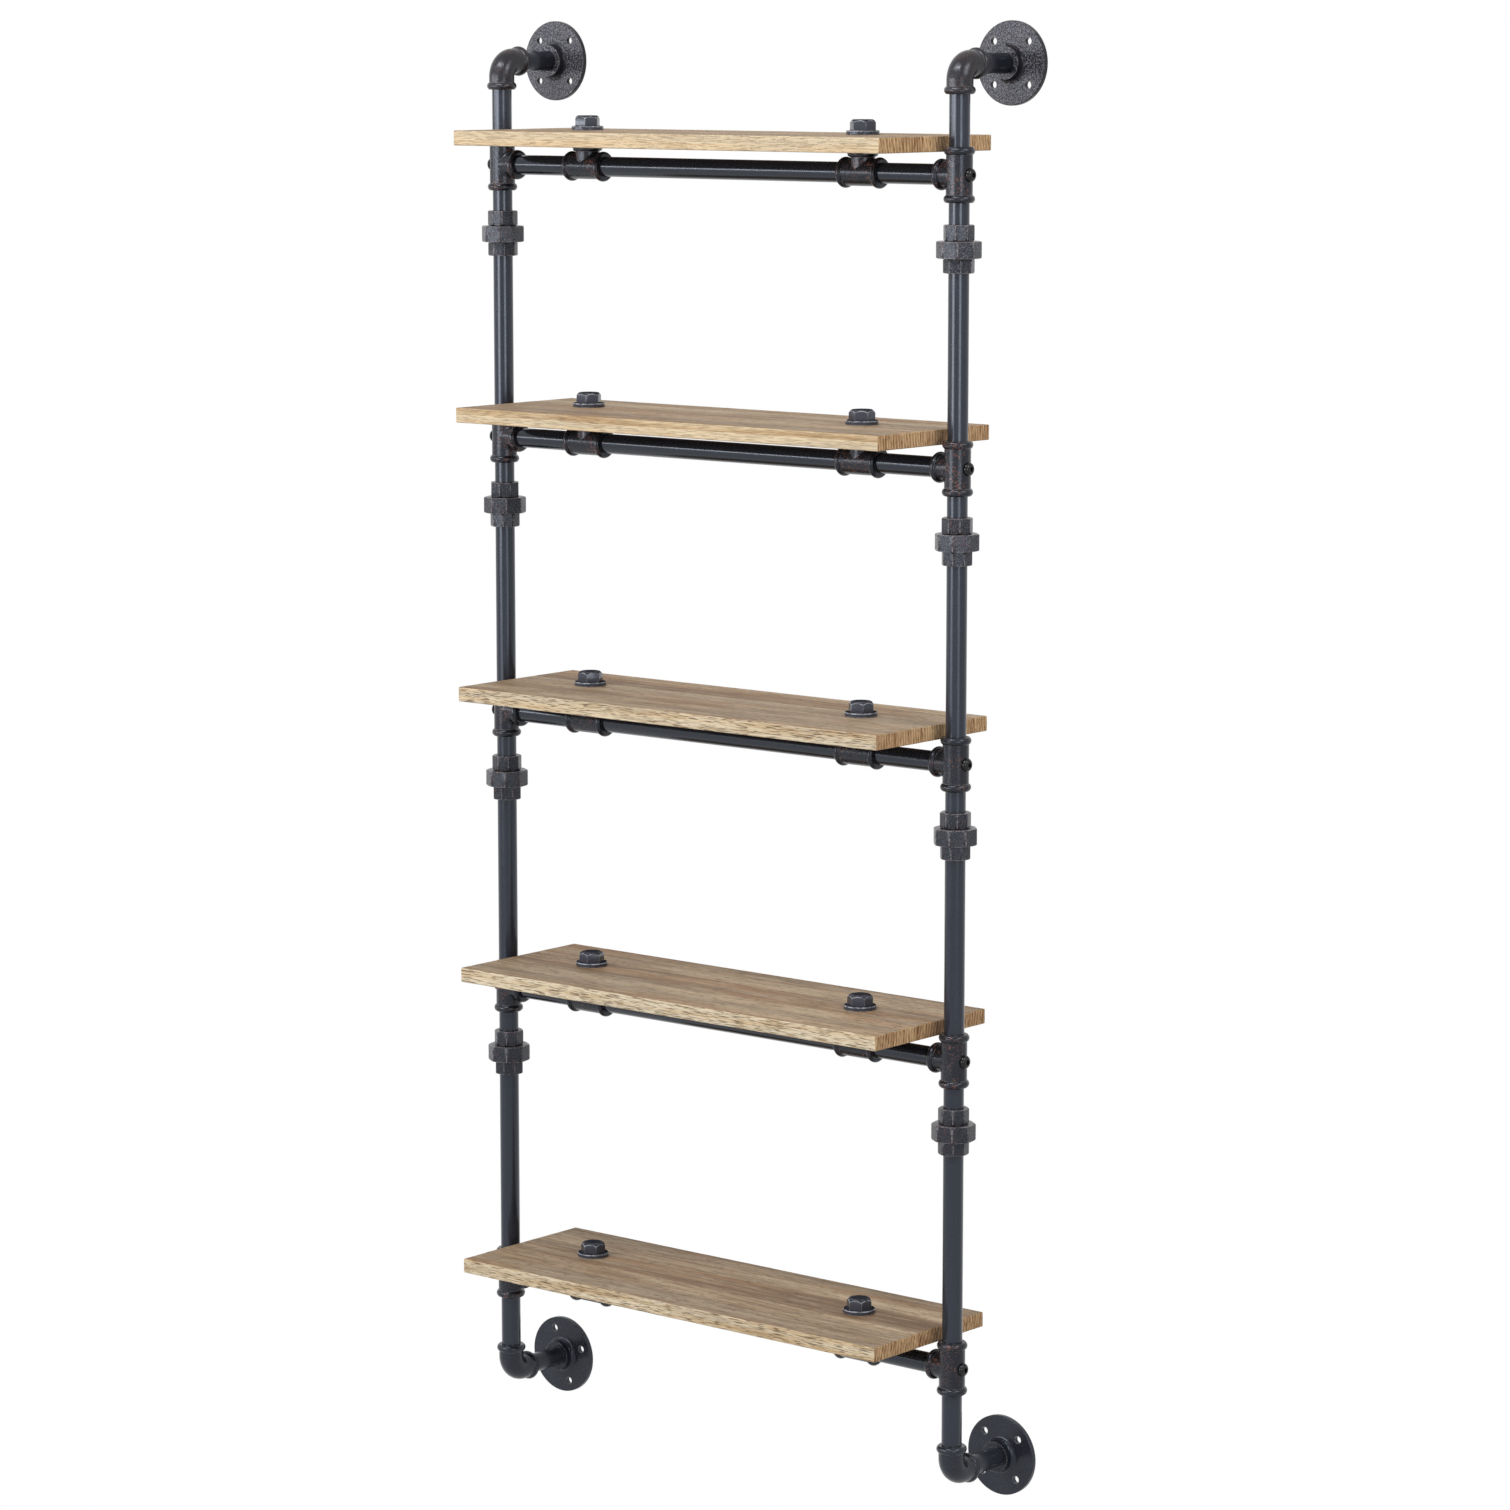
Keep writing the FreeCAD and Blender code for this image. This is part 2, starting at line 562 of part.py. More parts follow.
# Uprights: from the top elbow down to the bottom elbow on each side
engaged = size["thread_engagement"]
screws, inserts, short_nipples = [], [], []
upper_ends, nuts, lower_ends = [], [], []
top_nipples, bottom_nipples = [], []
for side, sign in SIDES.items():
    x = upright_x * sign
    facing = 0 if sign < 0 else HALF_TURN
    for number, z in enumerate(rail_z, start=1):
        upright_tee = tee(f"{side}_tee_{number}", tee_run, tee_branch, size["band_width"],
                          size["tee_crotch_radius"], True)
        pieces.append(put(upright_tee, x, upright_y, z, angle=facing))
        screw = tee_screw(f"{side}_screw_{number}")
        screws.append(put(screw, x + fitting_radius * sign, upright_y, z, angle=HALF_TURN - facing))
        insert = rail_insert(f"{side}_insert_{number}")
        rail_end = (upright_x - tee_branch + engaged) * sign
        inserts.append(put(insert, rail_end, upright_y, z, angle=HALF_TURN - facing))
    for number, bay in enumerate(bays, start=1):
        seat_z = rail_z[number - 1] - size["union_drop"] + seat_above_nut_middle
        upper_end = union_upper_end(f"{side}_union_upper_{number}")
        upper_ends.append(put(upper_end, x, upright_y, seat_z, angle=size["union_turn"]))
        nut = union_nut(f"{side}_union_nut_{number}")
        nuts.append(put(nut, x, upright_y, seat_z, angle=size["nut_turn"]))
        lower_end = union_lower_end(f"{side}_union_lower_{number}")
        lower_ends.append(put(lower_end, x, upright_y, seat_z, angle=size["union_turn"]))
        short_low = seat_z + upper_top - engaged
        short_high = rail_z[number - 1] - tee_run + engaged
        short_nipple = pipe(f"{side}_short_nipple_{number}", short_high - short_low)
        short_nipples.append(put(short_nipple, x, upright_y, short_low))
        long_low = rail_z[number] + tee_run - engaged
        long_high = seat_z + lower_foot + engaged
        pieces.append(put(pipe(f"{side}_pipe_{number}", long_high - long_low), x, upright_y, long_low))
    top_length = size["top_drop"] - tee_run - elbow_reach + engaged * 2
    bottom_length = size["bottom_drop"] - tee_run - elbow_reach + engaged * 2
    top_low = rail_z[0] + tee_run - engaged
    bottom_low = bottom_elbow_z + elbow_reach - engaged
    top_nipples.append(put(pipe(f"{side}_top_nipple", top_length), x, upright_y, top_low))
    bottom_nipples.append(put(pipe(f"{side}_bottom_nipple", bottom_length), x, upright_y, bottom_low))
pieces.append(group("tee_screws", screws))
pieces.append(group("rail_inserts", inserts))
pieces.append(group("short_nipples", short_nipples))
pieces.append(group("union_upper_ends", upper_ends))
pieces.append(group("union_nuts", nuts))
pieces.append(group("union_lower_ends", lower_ends))
pieces.append(group("top_nipples", top_nipples))
pieces.append(group("bottom_nipples", bottom_nipples))

# Wall fixings: elbow, wall nipple and flange at the four ends
turns = {"top_left": size["top_flange_turn"], "top_right": size["top_flange_turn"],
         "bottom_left": size["lower_left_turn"], "bottom_right": size["lower_right_turn"]}
wall_nipple_start = upright_y + elbow_reach - engaged
wall_nipple_end = size["flange_engagement"] - size["flange_hub_height"]
for level, z, flip in (("top", top_elbow_z, 0), ("bottom", bottom_elbow_z, HALF_TURN)):
    for side, sign in SIDES.items():
        place = f"{level}_{side}"
        x = upright_x * sign
        pieces.append(put(elbow(f"{place}_elbow"), x, upright_y, z, (0, 1, 0), flip))
        wall_nipple = pipe(f"{place}_wall_nipple", wall_nipple_end - wall_nipple_start)
        pieces.append(put(wall_nipple, x, wall_nipple_start, z, (1, 0, 0), -QUARTER_TURN))
        pieces.append(put(flange(f"{place}_flange"), x, ZERO, z, (0, 1, 0), turns[place]))

# Cross rails with their boards and plugs
nipple_start = plug_x + shelf_tee_run - engaged
nipple_end = upright_x - tee_branch + engaged
middle_reach = plug_x - shelf_tee_run + engaged
plugs = []
for number, z in enumerate(rail_z, start=1):
    middle = pipe(f"cross_pipe_{number}", middle_reach * 2)
    pieces.append(put(middle, -middle_reach, upright_y, z, (0, 1, 0), QUARTER_TURN))
    tees, nipples = [], []
    for side, sign in SIDES.items():
        shelf_tee = tee(f"{side}_shelf_tee_{number}", shelf_tee_run, shelf_tee_branch,
                        size["shelf_tee_band_width"], size["shelf_tee_crotch_radius"], False)
        tees.append(put(shelf_tee, plug_x * sign, upright_y, z, (0, 1, 0), -QUARTER_TURN))
        nipple = pipe(f"{side}_cross_nipple_{number}", nipple_end - nipple_start)
        nipples.append(put(nipple, nipple_start * sign, upright_y, z, (0, 1, 0), QUARTER_TURN * sign))
        plug = shelf_plug(f"{side}_plug_{number}")
        board_top = z + shelf_tee_branch + size["board_thickness"]
        plugs.append(put(plug, plug_x * sign, upright_y, board_top, angle=size["plug_turn"]))
    pieces.append(group(f"shelf_tees_{number}", tees))
    pieces.append(group(f"cross_nipples_{number}", nipples))
    pieces.append(put(shelf_board(f"shelf_board_{number}"), ZERO, upright_y, z + shelf_tee_branch))
pieces.append(group("shelf_plugs", plugs))

doc.recompute()

for item in doc.Objects:
    if "Invalid" in item.State or "Error" in item.State:
        raise RuntimeError(f"{item.Label} didn't compute: {item.State}")
for piece in pieces:
    if piece.Shape.isNull() or not piece.Shape.isValid():
        raise RuntimeError(f"{piece.Label} has no valid shape")

os.makedirs("parts", exist_ok=True)
for piece in pieces:
    piece.Shape.exportStep(f"parts/{piece.Label}.step")
print(len(pieces), "pieces,", sum(len(piece.Shape.Solids) for piece in pieces), "solids")
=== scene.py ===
# Pipe shelving unit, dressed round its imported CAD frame. Metres: X along the shelves, Y into the wall, Z up.
import math

import bpy
import numpy as np
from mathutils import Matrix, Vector


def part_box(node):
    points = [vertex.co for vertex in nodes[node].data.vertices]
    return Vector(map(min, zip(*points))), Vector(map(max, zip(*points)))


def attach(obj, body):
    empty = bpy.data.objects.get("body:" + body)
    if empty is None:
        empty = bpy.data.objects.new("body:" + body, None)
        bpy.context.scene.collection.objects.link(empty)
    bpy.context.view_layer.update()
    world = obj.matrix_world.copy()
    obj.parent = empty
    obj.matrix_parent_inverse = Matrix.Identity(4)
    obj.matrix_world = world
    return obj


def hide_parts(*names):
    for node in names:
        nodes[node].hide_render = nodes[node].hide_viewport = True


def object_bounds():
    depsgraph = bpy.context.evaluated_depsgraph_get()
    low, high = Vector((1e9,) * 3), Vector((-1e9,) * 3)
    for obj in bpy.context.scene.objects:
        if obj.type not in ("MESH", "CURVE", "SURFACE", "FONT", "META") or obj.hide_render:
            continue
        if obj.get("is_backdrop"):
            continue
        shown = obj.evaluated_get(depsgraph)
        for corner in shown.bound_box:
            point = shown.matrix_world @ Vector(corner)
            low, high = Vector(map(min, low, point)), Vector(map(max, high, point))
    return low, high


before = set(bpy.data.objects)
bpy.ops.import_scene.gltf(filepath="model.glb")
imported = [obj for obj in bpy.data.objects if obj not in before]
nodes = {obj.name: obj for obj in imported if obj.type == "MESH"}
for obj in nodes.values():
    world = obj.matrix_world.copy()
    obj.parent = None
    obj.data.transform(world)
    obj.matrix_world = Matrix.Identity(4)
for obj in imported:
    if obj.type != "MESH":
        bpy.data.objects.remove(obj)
cad_low, cad_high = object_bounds()


def srgb(red, green, blue):
    """A colour as it looks on a screen, 0 to 255 a channel, as the linear colour that a shader takes.
    The screen's curve is straight near black and a power of 2.4 above that."""
    channels = np.array([red, green, blue]) / 255
    linear = np.where(channels <= 0.04045, channels / 12.92, ((channels + 0.055) / 1.055) ** 2.4)
    return (*linear.tolist(), 1.0)


class Finish:
    """A material in the making: each call adds nodes and gives back the output that carries its result."""

    # Numbers of a mix node's colour sockets
    FIRST_COLOUR = 6
    SECOND_COLOUR = 7
    MIXED_COLOUR = 2
    # Rays that feel out edges and corners
    FEELERS = 6

    def __init__(self, name):
        self.material = bpy.data.materials.new(name)
        self.material.use_nodes = True
        self.nodes = self.material.node_tree.nodes
        self.links = self.material.node_tree.links
        self.shader = self.nodes["Principled BSDF"]
        self.place = self.nodes.new("ShaderNodeTexCoord").outputs["Object"]

    def feed(self, socket, value):
        """Links an output to the socket, or sets the socket to a plain value."""
        if isinstance(value, bpy.types.NodeSocket):
            self.links.new(value, socket)
        else:
            socket.default_value = value

    def noise(self, size, detail, distortion=0.0):
        """Cloudy pattern from 0 to 1. size is a patch's size in metres, one number or one for each axis."""
        mapping = self.nodes.new("ShaderNodeMapping")
        mapping.inputs["Scale"].default_value = 1 / np.broadcast_to(size, 3)
        self.feed(mapping.inputs["Vector"], self.place)
        pattern = self.nodes.new("ShaderNodeTexNoise")
        pattern.inputs["Scale"].default_value = 1.0
        pattern.inputs["Detail"].default_value = detail
        pattern.inputs["Distortion"].default_value = distortion
        self.feed(pattern.inputs["Vector"], mapping.outputs["Vector"])
        return pattern.outputs[0]

    def span(self, value, low, high, bottom=0.0, top=1.0):
        """Carries the stretch from low to high over to bottom to top, and holds the ends beyond it."""
        ranged = self.nodes.new("ShaderNodeMapRange")
        self.feed(ranged.inputs["Value"], value)
        self.feed(ranged.inputs["From Min"], low)
        self.feed(ranged.inputs["From Max"], high)
        self.feed(ranged.inputs["To Min"], bottom)
        self.feed(ranged.inputs["To Max"], top)
        return ranged.outputs["Result"]

    def patches(self, size, detail, low, high, bottom=0.0, top=1.0, distortion=0.0):
        """A cloudy pattern whose stretch from low to high is carried over to bottom to top."""
        return self.span(self.noise(size, detail, distortion), low, high, bottom, top)

    def roughness(self, size, detail, gloss):
        """Roughness in patches, from the least to the greatest value that gloss holds."""
        least, greatest = gloss
        return self.patches(size, detail, low=0.3, high=0.7, bottom=least, top=greatest)

    def combine(self, operation, first, second):
        """One sum on two numbers."""
        sum_node = self.nodes.new("ShaderNodeMath")
        sum_node.operation = operation
        self.feed(sum_node.inputs[0], first)
        self.feed(sum_node.inputs[1], second)
        return sum_node.outputs[0]

    def times(self, first, second):
        """The product of two numbers."""
        return self.combine("MULTIPLY", first, second)

    def mix(self, factor, first, second):
        """Two colours, the second laid over the first as far as the factor says."""
        mixer = self.nodes.new("ShaderNodeMix")
        mixer.data_type = "RGBA"
        self.feed(mixer.inputs["Factor"], factor)
        self.feed(mixer.inputs[self.FIRST_COLOUR], first)
        self.feed(mixer.inputs[self.SECOND_COLOUR], second)
        return mixer.outputs[self.MIXED_COLOUR]

    def shade(self, value, *stops):
        """Colours strung along a value: each stop is a place from 0 to 1 and a colour."""
        ramp = self.nodes.new("ShaderNodeValToRGB")
        elements = ramp.color_ramp.elements
        while len(elements) < len(stops):
            elements.new(1.0)
        for element, (position, colour) in zip(elements, stops):
            element.position = position
            element.color = colour
        self.feed(ramp.inputs["Fac"], value)
        return ramp.outputs["Color"]

    def marked(self, name):
        """The number that the mesh carries under a name."""
        layer = self.nodes.new("ShaderNodeAttribute")
        layer.attribute_name = name
        return layer.outputs["Fac"]

    def height(self):
        """How high the place lies, in metres."""
        parts = self.nodes.new("ShaderNodeSeparateXYZ")
        self.feed(parts.inputs[0], self.place)
        return parts.outputs["Z"]

    def faces_out(self):
        """1 on faces within about 18 degrees of straight out from the wall, fading to 0 at about 46."""
        way = self.nodes.new("ShaderNodeSeparateXYZ")
        self.feed(way.inputs[0], self.nodes.new("ShaderNodeNewGeometry").outputs["Normal"])
        return self.span(way.outputs["Y"], low=-0.70, high=-0.95)

    def edges(self, radius):
        """1 on edges, where the normal rounded over a radius turns about 31 degrees from the true one,
        and 0 where it turns less than about 8."""
        soft = self.nodes.new("ShaderNodeBevel")
        soft.samples = self.FEELERS
        soft.inputs["Radius"].default_value = radius
        true = self.nodes.new("ShaderNodeNewGeometry")
        dot = self.nodes.new("ShaderNodeVectorMath")
        dot.operation = "DOT_PRODUCT"
        self.feed(dot.inputs[0], soft.outputs["Normal"])
        self.feed(dot.inputs[1], true.outputs["Normal"])
        return self.span(dot.outputs["Value"], low=0.99, high=0.86)

    def corners(self, reach, low, high, strength):
        """Painted shade: strength in corners and under ledges, 0 in the open: the share of the sky that is
        free within a reach in metres goes from low to high."""
        sky = self.nodes.new("ShaderNodeAmbientOcclusion")
        sky.samples = self.FEELERS
        sky.inputs["Distance"].default_value = reach
        return self.span(sky.outputs["AO"], low, high, bottom=strength, top=0.0)

    def relief(self, height, depth):
        """Bumps of a depth in metres, laid on the shader's normal."""
        bump = self.nodes.new("ShaderNodeBump")
        bump.inputs["Distance"].default_value = depth
        self.feed(bump.inputs["Height"], height)
        self.feed(self.shader.inputs["Normal"], bump.outputs["Normal"])

    def coat(self, colour, roughness, specular, tint=(1.0, 1.0, 1.0, 1.0), metallic=0.0):
        """Sets the surface shader and gives back the finished material. tint colours its highlights."""
        self.feed(self.shader.inputs["Base Color"], colour)
        self.feed(self.shader.inputs["Roughness"], roughness)
        self.feed(self.shader.inputs["Metallic"], metallic)
        self.feed(self.shader.inputs["Specular IOR Level"], specular)
        self.feed(self.shader.inputs["Specular Tint"], tint)
        return self.material


def dress(names, material):
    """Gives CAD nodes a material in their own slot."""
    for name in names:
        nodes[name].data.materials.clear()
        nodes[name].data.materials.append(material)


# Highlights of the lacquer: bluish on most pieces, greyer on the upper flanges and elbows
BLUE_SHEEN = (0.78, 0.86, 1.0, 1.0)
GREY_SHEEN = (0.88, 0.90, 1.0, 1.0)
IRON_GRAIN = srgb(152, 153, 162)
# Colour of the painted shade in corners
IRON_PAINTED_SHADE = srgb(16, 16, 19)
# Colour of edges that are partly worn bare and partly painted with glints, and how strongly it shows
IRON_WORN_GLINT = srgb(158, 156, 158)
IRON_WORN_GLINT_SHOW = 0.75


def cast_iron(name, ground, cloud, fleck, speckle, rub, painted_shade, pitting, gloss, specular, sheen):
    """Sand-cast skin: two ground tones in clouds, pale grains on faces that look out from the wall,
    copper-brown flecks in patches, painted shade in corners, and edges bared in patches, partly wear and
    partly painted glints. speckle, rub and painted_shade are how strongly the grains, flecks and painted
    corner shade show, pitting is the depth of the pits, and gloss the least and the greatest roughness."""
    finish = Finish(name)
    tone = finish.mix(finish.patches(size=0.022, detail=3, low=0.35, high=0.65), ground, cloud)
    grains = finish.patches(size=0.0016, detail=2, low=0.44, high=0.64, top=speckle)
    tone = finish.mix(finish.times(grains, finish.faces_out()), tone, IRON_GRAIN)
    rubbed = finish.patches(size=0.016, detail=2, low=0.48, high=0.64)
    flecks = finish.patches(size=0.0022, detail=2, low=0.54, high=0.64)
    tone = finish.mix(finish.times(finish.times(rubbed, flecks), rub), tone, fleck)
    # Painted shade in corners and creases
    tone = finish.mix(finish.corners(reach=0.010, low=0.25, high=0.9, strength=painted_shade), tone, IRON_PAINTED_SHADE)
    # Edges bared in patches: partly wear, partly painted glints
    chips_and_glints = finish.patches(size=0.005, detail=3, low=0.38, high=0.56)
    bared_and_glint = finish.times(finish.edges(radius=0.0012), chips_and_glints)
    tone = finish.mix(finish.times(bared_and_glint, IRON_WORN_GLINT_SHOW), tone, IRON_WORN_GLINT)
    finish.relief(finish.noise(size=0.0022, detail=3), pitting)
    return finish.coat(tone, finish.roughness(size=0.004, detail=2, gloss=gloss), specular, sheen)


upper_flange_iron = cast_iron(
    "upper_flange_iron", ground=srgb(32, 32, 38), cloud=srgb(24, 24, 30), fleck=srgb(92, 74, 70),
    speckle=0.54, rub=0.5, painted_shade=0.15, pitting=0.0004, gloss=(0.14, 0.24), specular=0.20, sheen=GREY_SHEEN)
lower_flange_iron = cast_iron(
    "lower_flange_iron", ground=srgb(39, 41, 49), cloud=srgb(33, 35, 43), fleck=srgb(72, 62, 62),
    speckle=0.06, rub=0.25, painted_shade=0.15, pitting=0.0001, gloss=(0.16, 0.28), specular=0.36, sheen=BLUE_SHEEN)
dress(["top_left_flange", "top_right_flange"], upper_flange_iron)
dress(["bottom_left_flange", "bottom_right_flange"], lower_flange_iron)


# Pipes and nipples
# Welded steel pipe, blackened and clear lacquered: smooth satin with faint drawn streaks along its length.
# Every end is threaded into a fitting. The rails are painted darker than the uprights, as shade under the
# boards; the upper wall nipples are painted dark as shade behind the elbows, and the lower wall nipples palest
# as light from above.
PIPE_SPECK = srgb(84, 86, 94)
# Colour of the painted shade in corners
PIPE_PAINTED_SHADE = srgb(14, 14, 17)
LONG_STREAK = 0.30
FINE_STREAK = 0.0035
UPRIGHT_STREAK = (FINE_STREAK, FINE_STREAK, LONG_STREAK)
RAIL_STREAK = (LONG_STREAK, FINE_STREAK, FINE_STREAK)
WALL_STREAK = (FINE_STREAK, LONG_STREAK, FINE_STREAK)


def pipe_steel(name, streak, dark, pale, painted_shade, gloss, specular):
    """Satin black steel: two tones in streaks, pale specks and painted shade in corners. streak is the size of
    a streak along X, Y and Z, painted_shade is how strongly the painted shade shows, and gloss the least and
    greatest roughness."""
    finish = Finish(name)
    tone = finish.mix(finish.patches(streak, detail=3, low=0.3, high=0.7), dark, pale)
    tone = finish.mix(finish.patches(size=0.0015, detail=2, low=0.6, high=0.75, top=0.3), tone, PIPE_SPECK)
    # Painted shade in corners
    tone = finish.mix(finish.corners(reach=0.012, low=0.3, high=0.95, strength=painted_shade), tone, PIPE_PAINTED_SHADE)
    finish.relief(finish.noise(size=0.0014, detail=2), depth=0.00003)
    return finish.coat(tone, finish.roughness(size=0.012, detail=3, gloss=gloss), specular, BLUE_SHEEN)


upright_steel = pipe_steel(
    "upright_steel", UPRIGHT_STREAK, dark=srgb(33, 36, 45), pale=srgb(42, 45, 55),
    painted_shade=0.8, gloss=(0.14, 0.22), specular=0.5)
# Darker than the uprights: painted shade under the boards
rail_steel_painted_shade = pipe_steel(
    "rail_steel_painted_shade", RAIL_STREAK, dark=srgb(22, 24, 31), pale=srgb(29, 31, 39),
    painted_shade=0.8, gloss=(0.14, 0.20), specular=0.55)
# Darker than the uprights: painted shade behind the elbows
upper_nipple_painted_shade = pipe_steel(
    "upper_nipple_painted_shade", WALL_STREAK, dark=srgb(25, 27, 34), pale=srgb(33, 35, 43),
    painted_shade=0.4, gloss=(0.14, 0.22), specular=0.25)
# Paler than the uprights: painted light from above, with less painted shade
lower_nipple_painted_light = pipe_steel(
    "lower_nipple_painted_light", WALL_STREAK, dark=srgb(44, 47, 55), pale=srgb(53, 56, 65),
    painted_shade=0.1, gloss=(0.14, 0.22), specular=0.30)
dress(["top_left_wall_nipple", "top_right_wall_nipple"], upper_nipple_painted_shade)
dress(["bottom_left_wall_nipple", "bottom_right_wall_nipple"], lower_nipple_painted_light)
dress([name for name in nodes if name.startswith(("left_pipe", "right_pipe"))], upright_steel)
dress(["top_nipples", "bottom_nipples", "short_nipples"], upright_steel)
dress([name for name in nodes if name.startswith("cross_")], rail_steel_painted_shade)


# Elbows and tees
# Malleable iron castings with rolled bands at their mouths, threaded inside, blackened and lacquered. The
# lacquer has rubbed through to a copper brown here and there. The upper elbows are browner, the lower slate.
fitting_iron = cast_iron(
    "fitting_iron", ground=srgb(25, 26, 32), cloud=srgb(31, 30, 34), fleck=srgb(126, 84, 70),
    speckle=0.10, rub=0.90, painted_shade=0.55, pitting=0.0002, gloss=(0.16, 0.28), specular=0.36, sheen=BLUE_SHEEN)
upper_elbow_iron = cast_iron(
    "upper_elbow_iron", ground=srgb(31, 30, 34), cloud=srgb(39, 35, 37), fleck=srgb(98, 72, 64),
    speckle=0.12, rub=0.55, painted_shade=0.55, pitting=0.0002, gloss=(0.18, 0.30), specular=0.36, sheen=GREY_SHEEN)
lower_elbow_iron = cast_iron(
    "lower_elbow_iron", ground=srgb(31, 33, 40), cloud=srgb(37, 38, 45), fleck=srgb(90, 66, 60),
    speckle=0.05, rub=0.35, painted_shade=0.55, pitting=0.00015, gloss=(0.16, 0.28), specular=0.40, sheen=BLUE_SHEEN)
dress(["top_left_elbow", "top_right_elbow"], upper_elbow_iron)
dress(["bottom_left_elbow", "bottom_right_elbow"], lower_elbow_iron)
dress([name for name in nodes if "_tee_" in name or name.startswith("shelf_tees")], fitting_iron)


# Unions
# Eight three-piece unions of malleable iron: two eight-sided ends and the eight-sided nut that draws them
# together. The flats are as cast, with soft corners; their edges are partly bared by wrench and handling and
# partly painted with glints.
scene = bpy.context.scene
SHELF_NUMBERS = range(1, 6)
PIPE_RADIUS = (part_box("left_pipe_1")[1].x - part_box("left_pipe_1")[0].x) / 2
UPRIGHT_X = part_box("right_pipe_1")[1].x - PIPE_RADIUS
UPRIGHT_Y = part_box("right_pipe_1")[1].y - PIPE_RADIUS
RAIL_Z = [(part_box(f"cross_pipe_{k}")[0].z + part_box(f"cross_pipe_{k}")[1].z) / 2 for k in SHELF_NUMBERS]
UNION_SIDES = 8
UNION_DROP = 0.075
UNION_GAP = 0.0004
NUT_FLATS = 0.0430
NUT_LENGTH = 0.0175
NUT_MOUTH = 0.0144
END_FLATS = 0.0300
UPPER_LENGTH = 0.0160
LOWER_LENGTH = 0.0145
SOCKET_PLAY = 0.00015
SOCKET = PIPE_RADIUS + SOCKET_PLAY
ARRIS = 0.0006
# How bare the worn edge is along each row of a sleeve's section, with its painted glint
SLEEVE_WEAR_AND_GLINT = np.array([0.5, 1.0, 0.0, 0.0, 1.0, 0.5, 0.0, 0.0, 0.0, 0.0])
# How far each union's upper end, nut and lower end are screwed round, left upright first, from the top down
UNION_TURNS = [[(-27, -35, -19), (-2, -21, -33), (-19, -31, -47), (-35, -32, -2)],
               [(-43, -34, -23), (-20, -42, -46), (-23, -46, -46), (-33, -34, -31)]]
# Steps round a turned piece, how sharp its corners are, and where a point starts to count as near one
TURN_STEPS = 192
CORNER_SHARPNESS = 150
CORNER_START = 0.78
CORNER_FADE = 0.14
# A length to divide by in place of 0, the digits that tell two points apart, and the fold seen as an edge
SMALLEST = 1e-9
WELD_DIGITS = 7
SHARP_ANGLE = math.radians(38)


def turned(rows, sides, turn):
    """A surface turned about Z on a grid of angle by row. Each row gives a height, a cap radius and half the
    size across flats, 0 for a round row. The radius is the soft least of the cap and of the distances to the
    flats: one over the norm, with exponent CORNER_SHARPNESS, of their inverses. Returns points and how near
    each is to a corner."""
    height, cap, flat = np.array(rows, float).T
    flatted = flat > 0
    to_flat = np.maximum(flat, SMALLEST)
    angle = turn + np.linspace(0, 2 * np.pi, TURN_STEPS, endpoint=False)[:, None]
    least = np.where(flatted, np.minimum(cap, flat), cap)
    unit = np.maximum(least, SMALLEST)
    total = np.tile((unit / np.maximum(cap, SMALLEST)) ** CORNER_SHARPNESS, (TURN_STEPS, 1))
    for side in range(sides):
        facing = np.maximum(np.cos(angle - turn - 2 * np.pi * side / sides), 0)
        total += np.where(flatted, facing * unit / to_flat, 0) ** CORNER_SHARPNESS
    radius = least * total ** (-1 / CORNER_SHARPNESS)
    across, along = radius * np.cos(angle), radius * np.sin(angle)
    points = np.stack([across, along, np.broadcast_to(height, radius.shape)], axis=-1)
    rise = 1 / math.cos(math.pi / sides) - 1
    corner = np.where(flatted, (radius / to_flat - 1) / rise, 0)
    return points, np.clip((corner - CORNER_START) / CORNER_FADE, 0, 1)


def grid_faces(index):
    """Four-cornered faces of a grid of point numbers."""
    return np.stack([index[:-1, :-1], index[1:, :-1], index[1:, 1:], index[:-1, 1:]], axis=-1).reshape(-1, 4)


def weld(points, quads):
    """Merges points that lie in one place. Quads that fold up on that become triangles."""
    rounded = np.round(points, WELD_DIGITS)
    places, first, number = np.unique(rounded, axis=0, return_index=True, return_inverse=True)
    quads = number.reshape(-1)[quads]
    folded = quads == np.roll(quads, -1, axis=1)
    whole = quads[~folded.any(axis=1)].tolist()
    single = folded.sum(axis=1) == 1
    kept = quads[single][~folded[single]].reshape(-1, 3)
    return places, first, whole + kept.tolist()


def new_piece(name, points, faces, materials, node):
    """Makes a mesh piece that rides on the unit and stands for a CAD node."""
    mesh = bpy.data.meshes.new(name)
    mesh.from_pydata(points.tolist(), [], faces)
    for material in materials:
        mesh.materials.append(material)
    mesh.polygons.foreach_set("use_smooth", np.ones(len(mesh.polygons), bool))
    mesh.set_sharp_from_angle(angle=SHARP_ANGLE)
    piece = bpy.data.objects.new(name, mesh)
    scene.collection.objects.link(piece)
    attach(piece, "root")
    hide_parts(node)
    return piece


def mark(piece, name, domain, values):
    """Writes a number for each point or face onto a mesh, for a finish to read by its name."""
    layer = piece.data.attributes.new(name, "FLOAT", domain)
    layer.data.foreach_set("value", values.astype(np.float32))


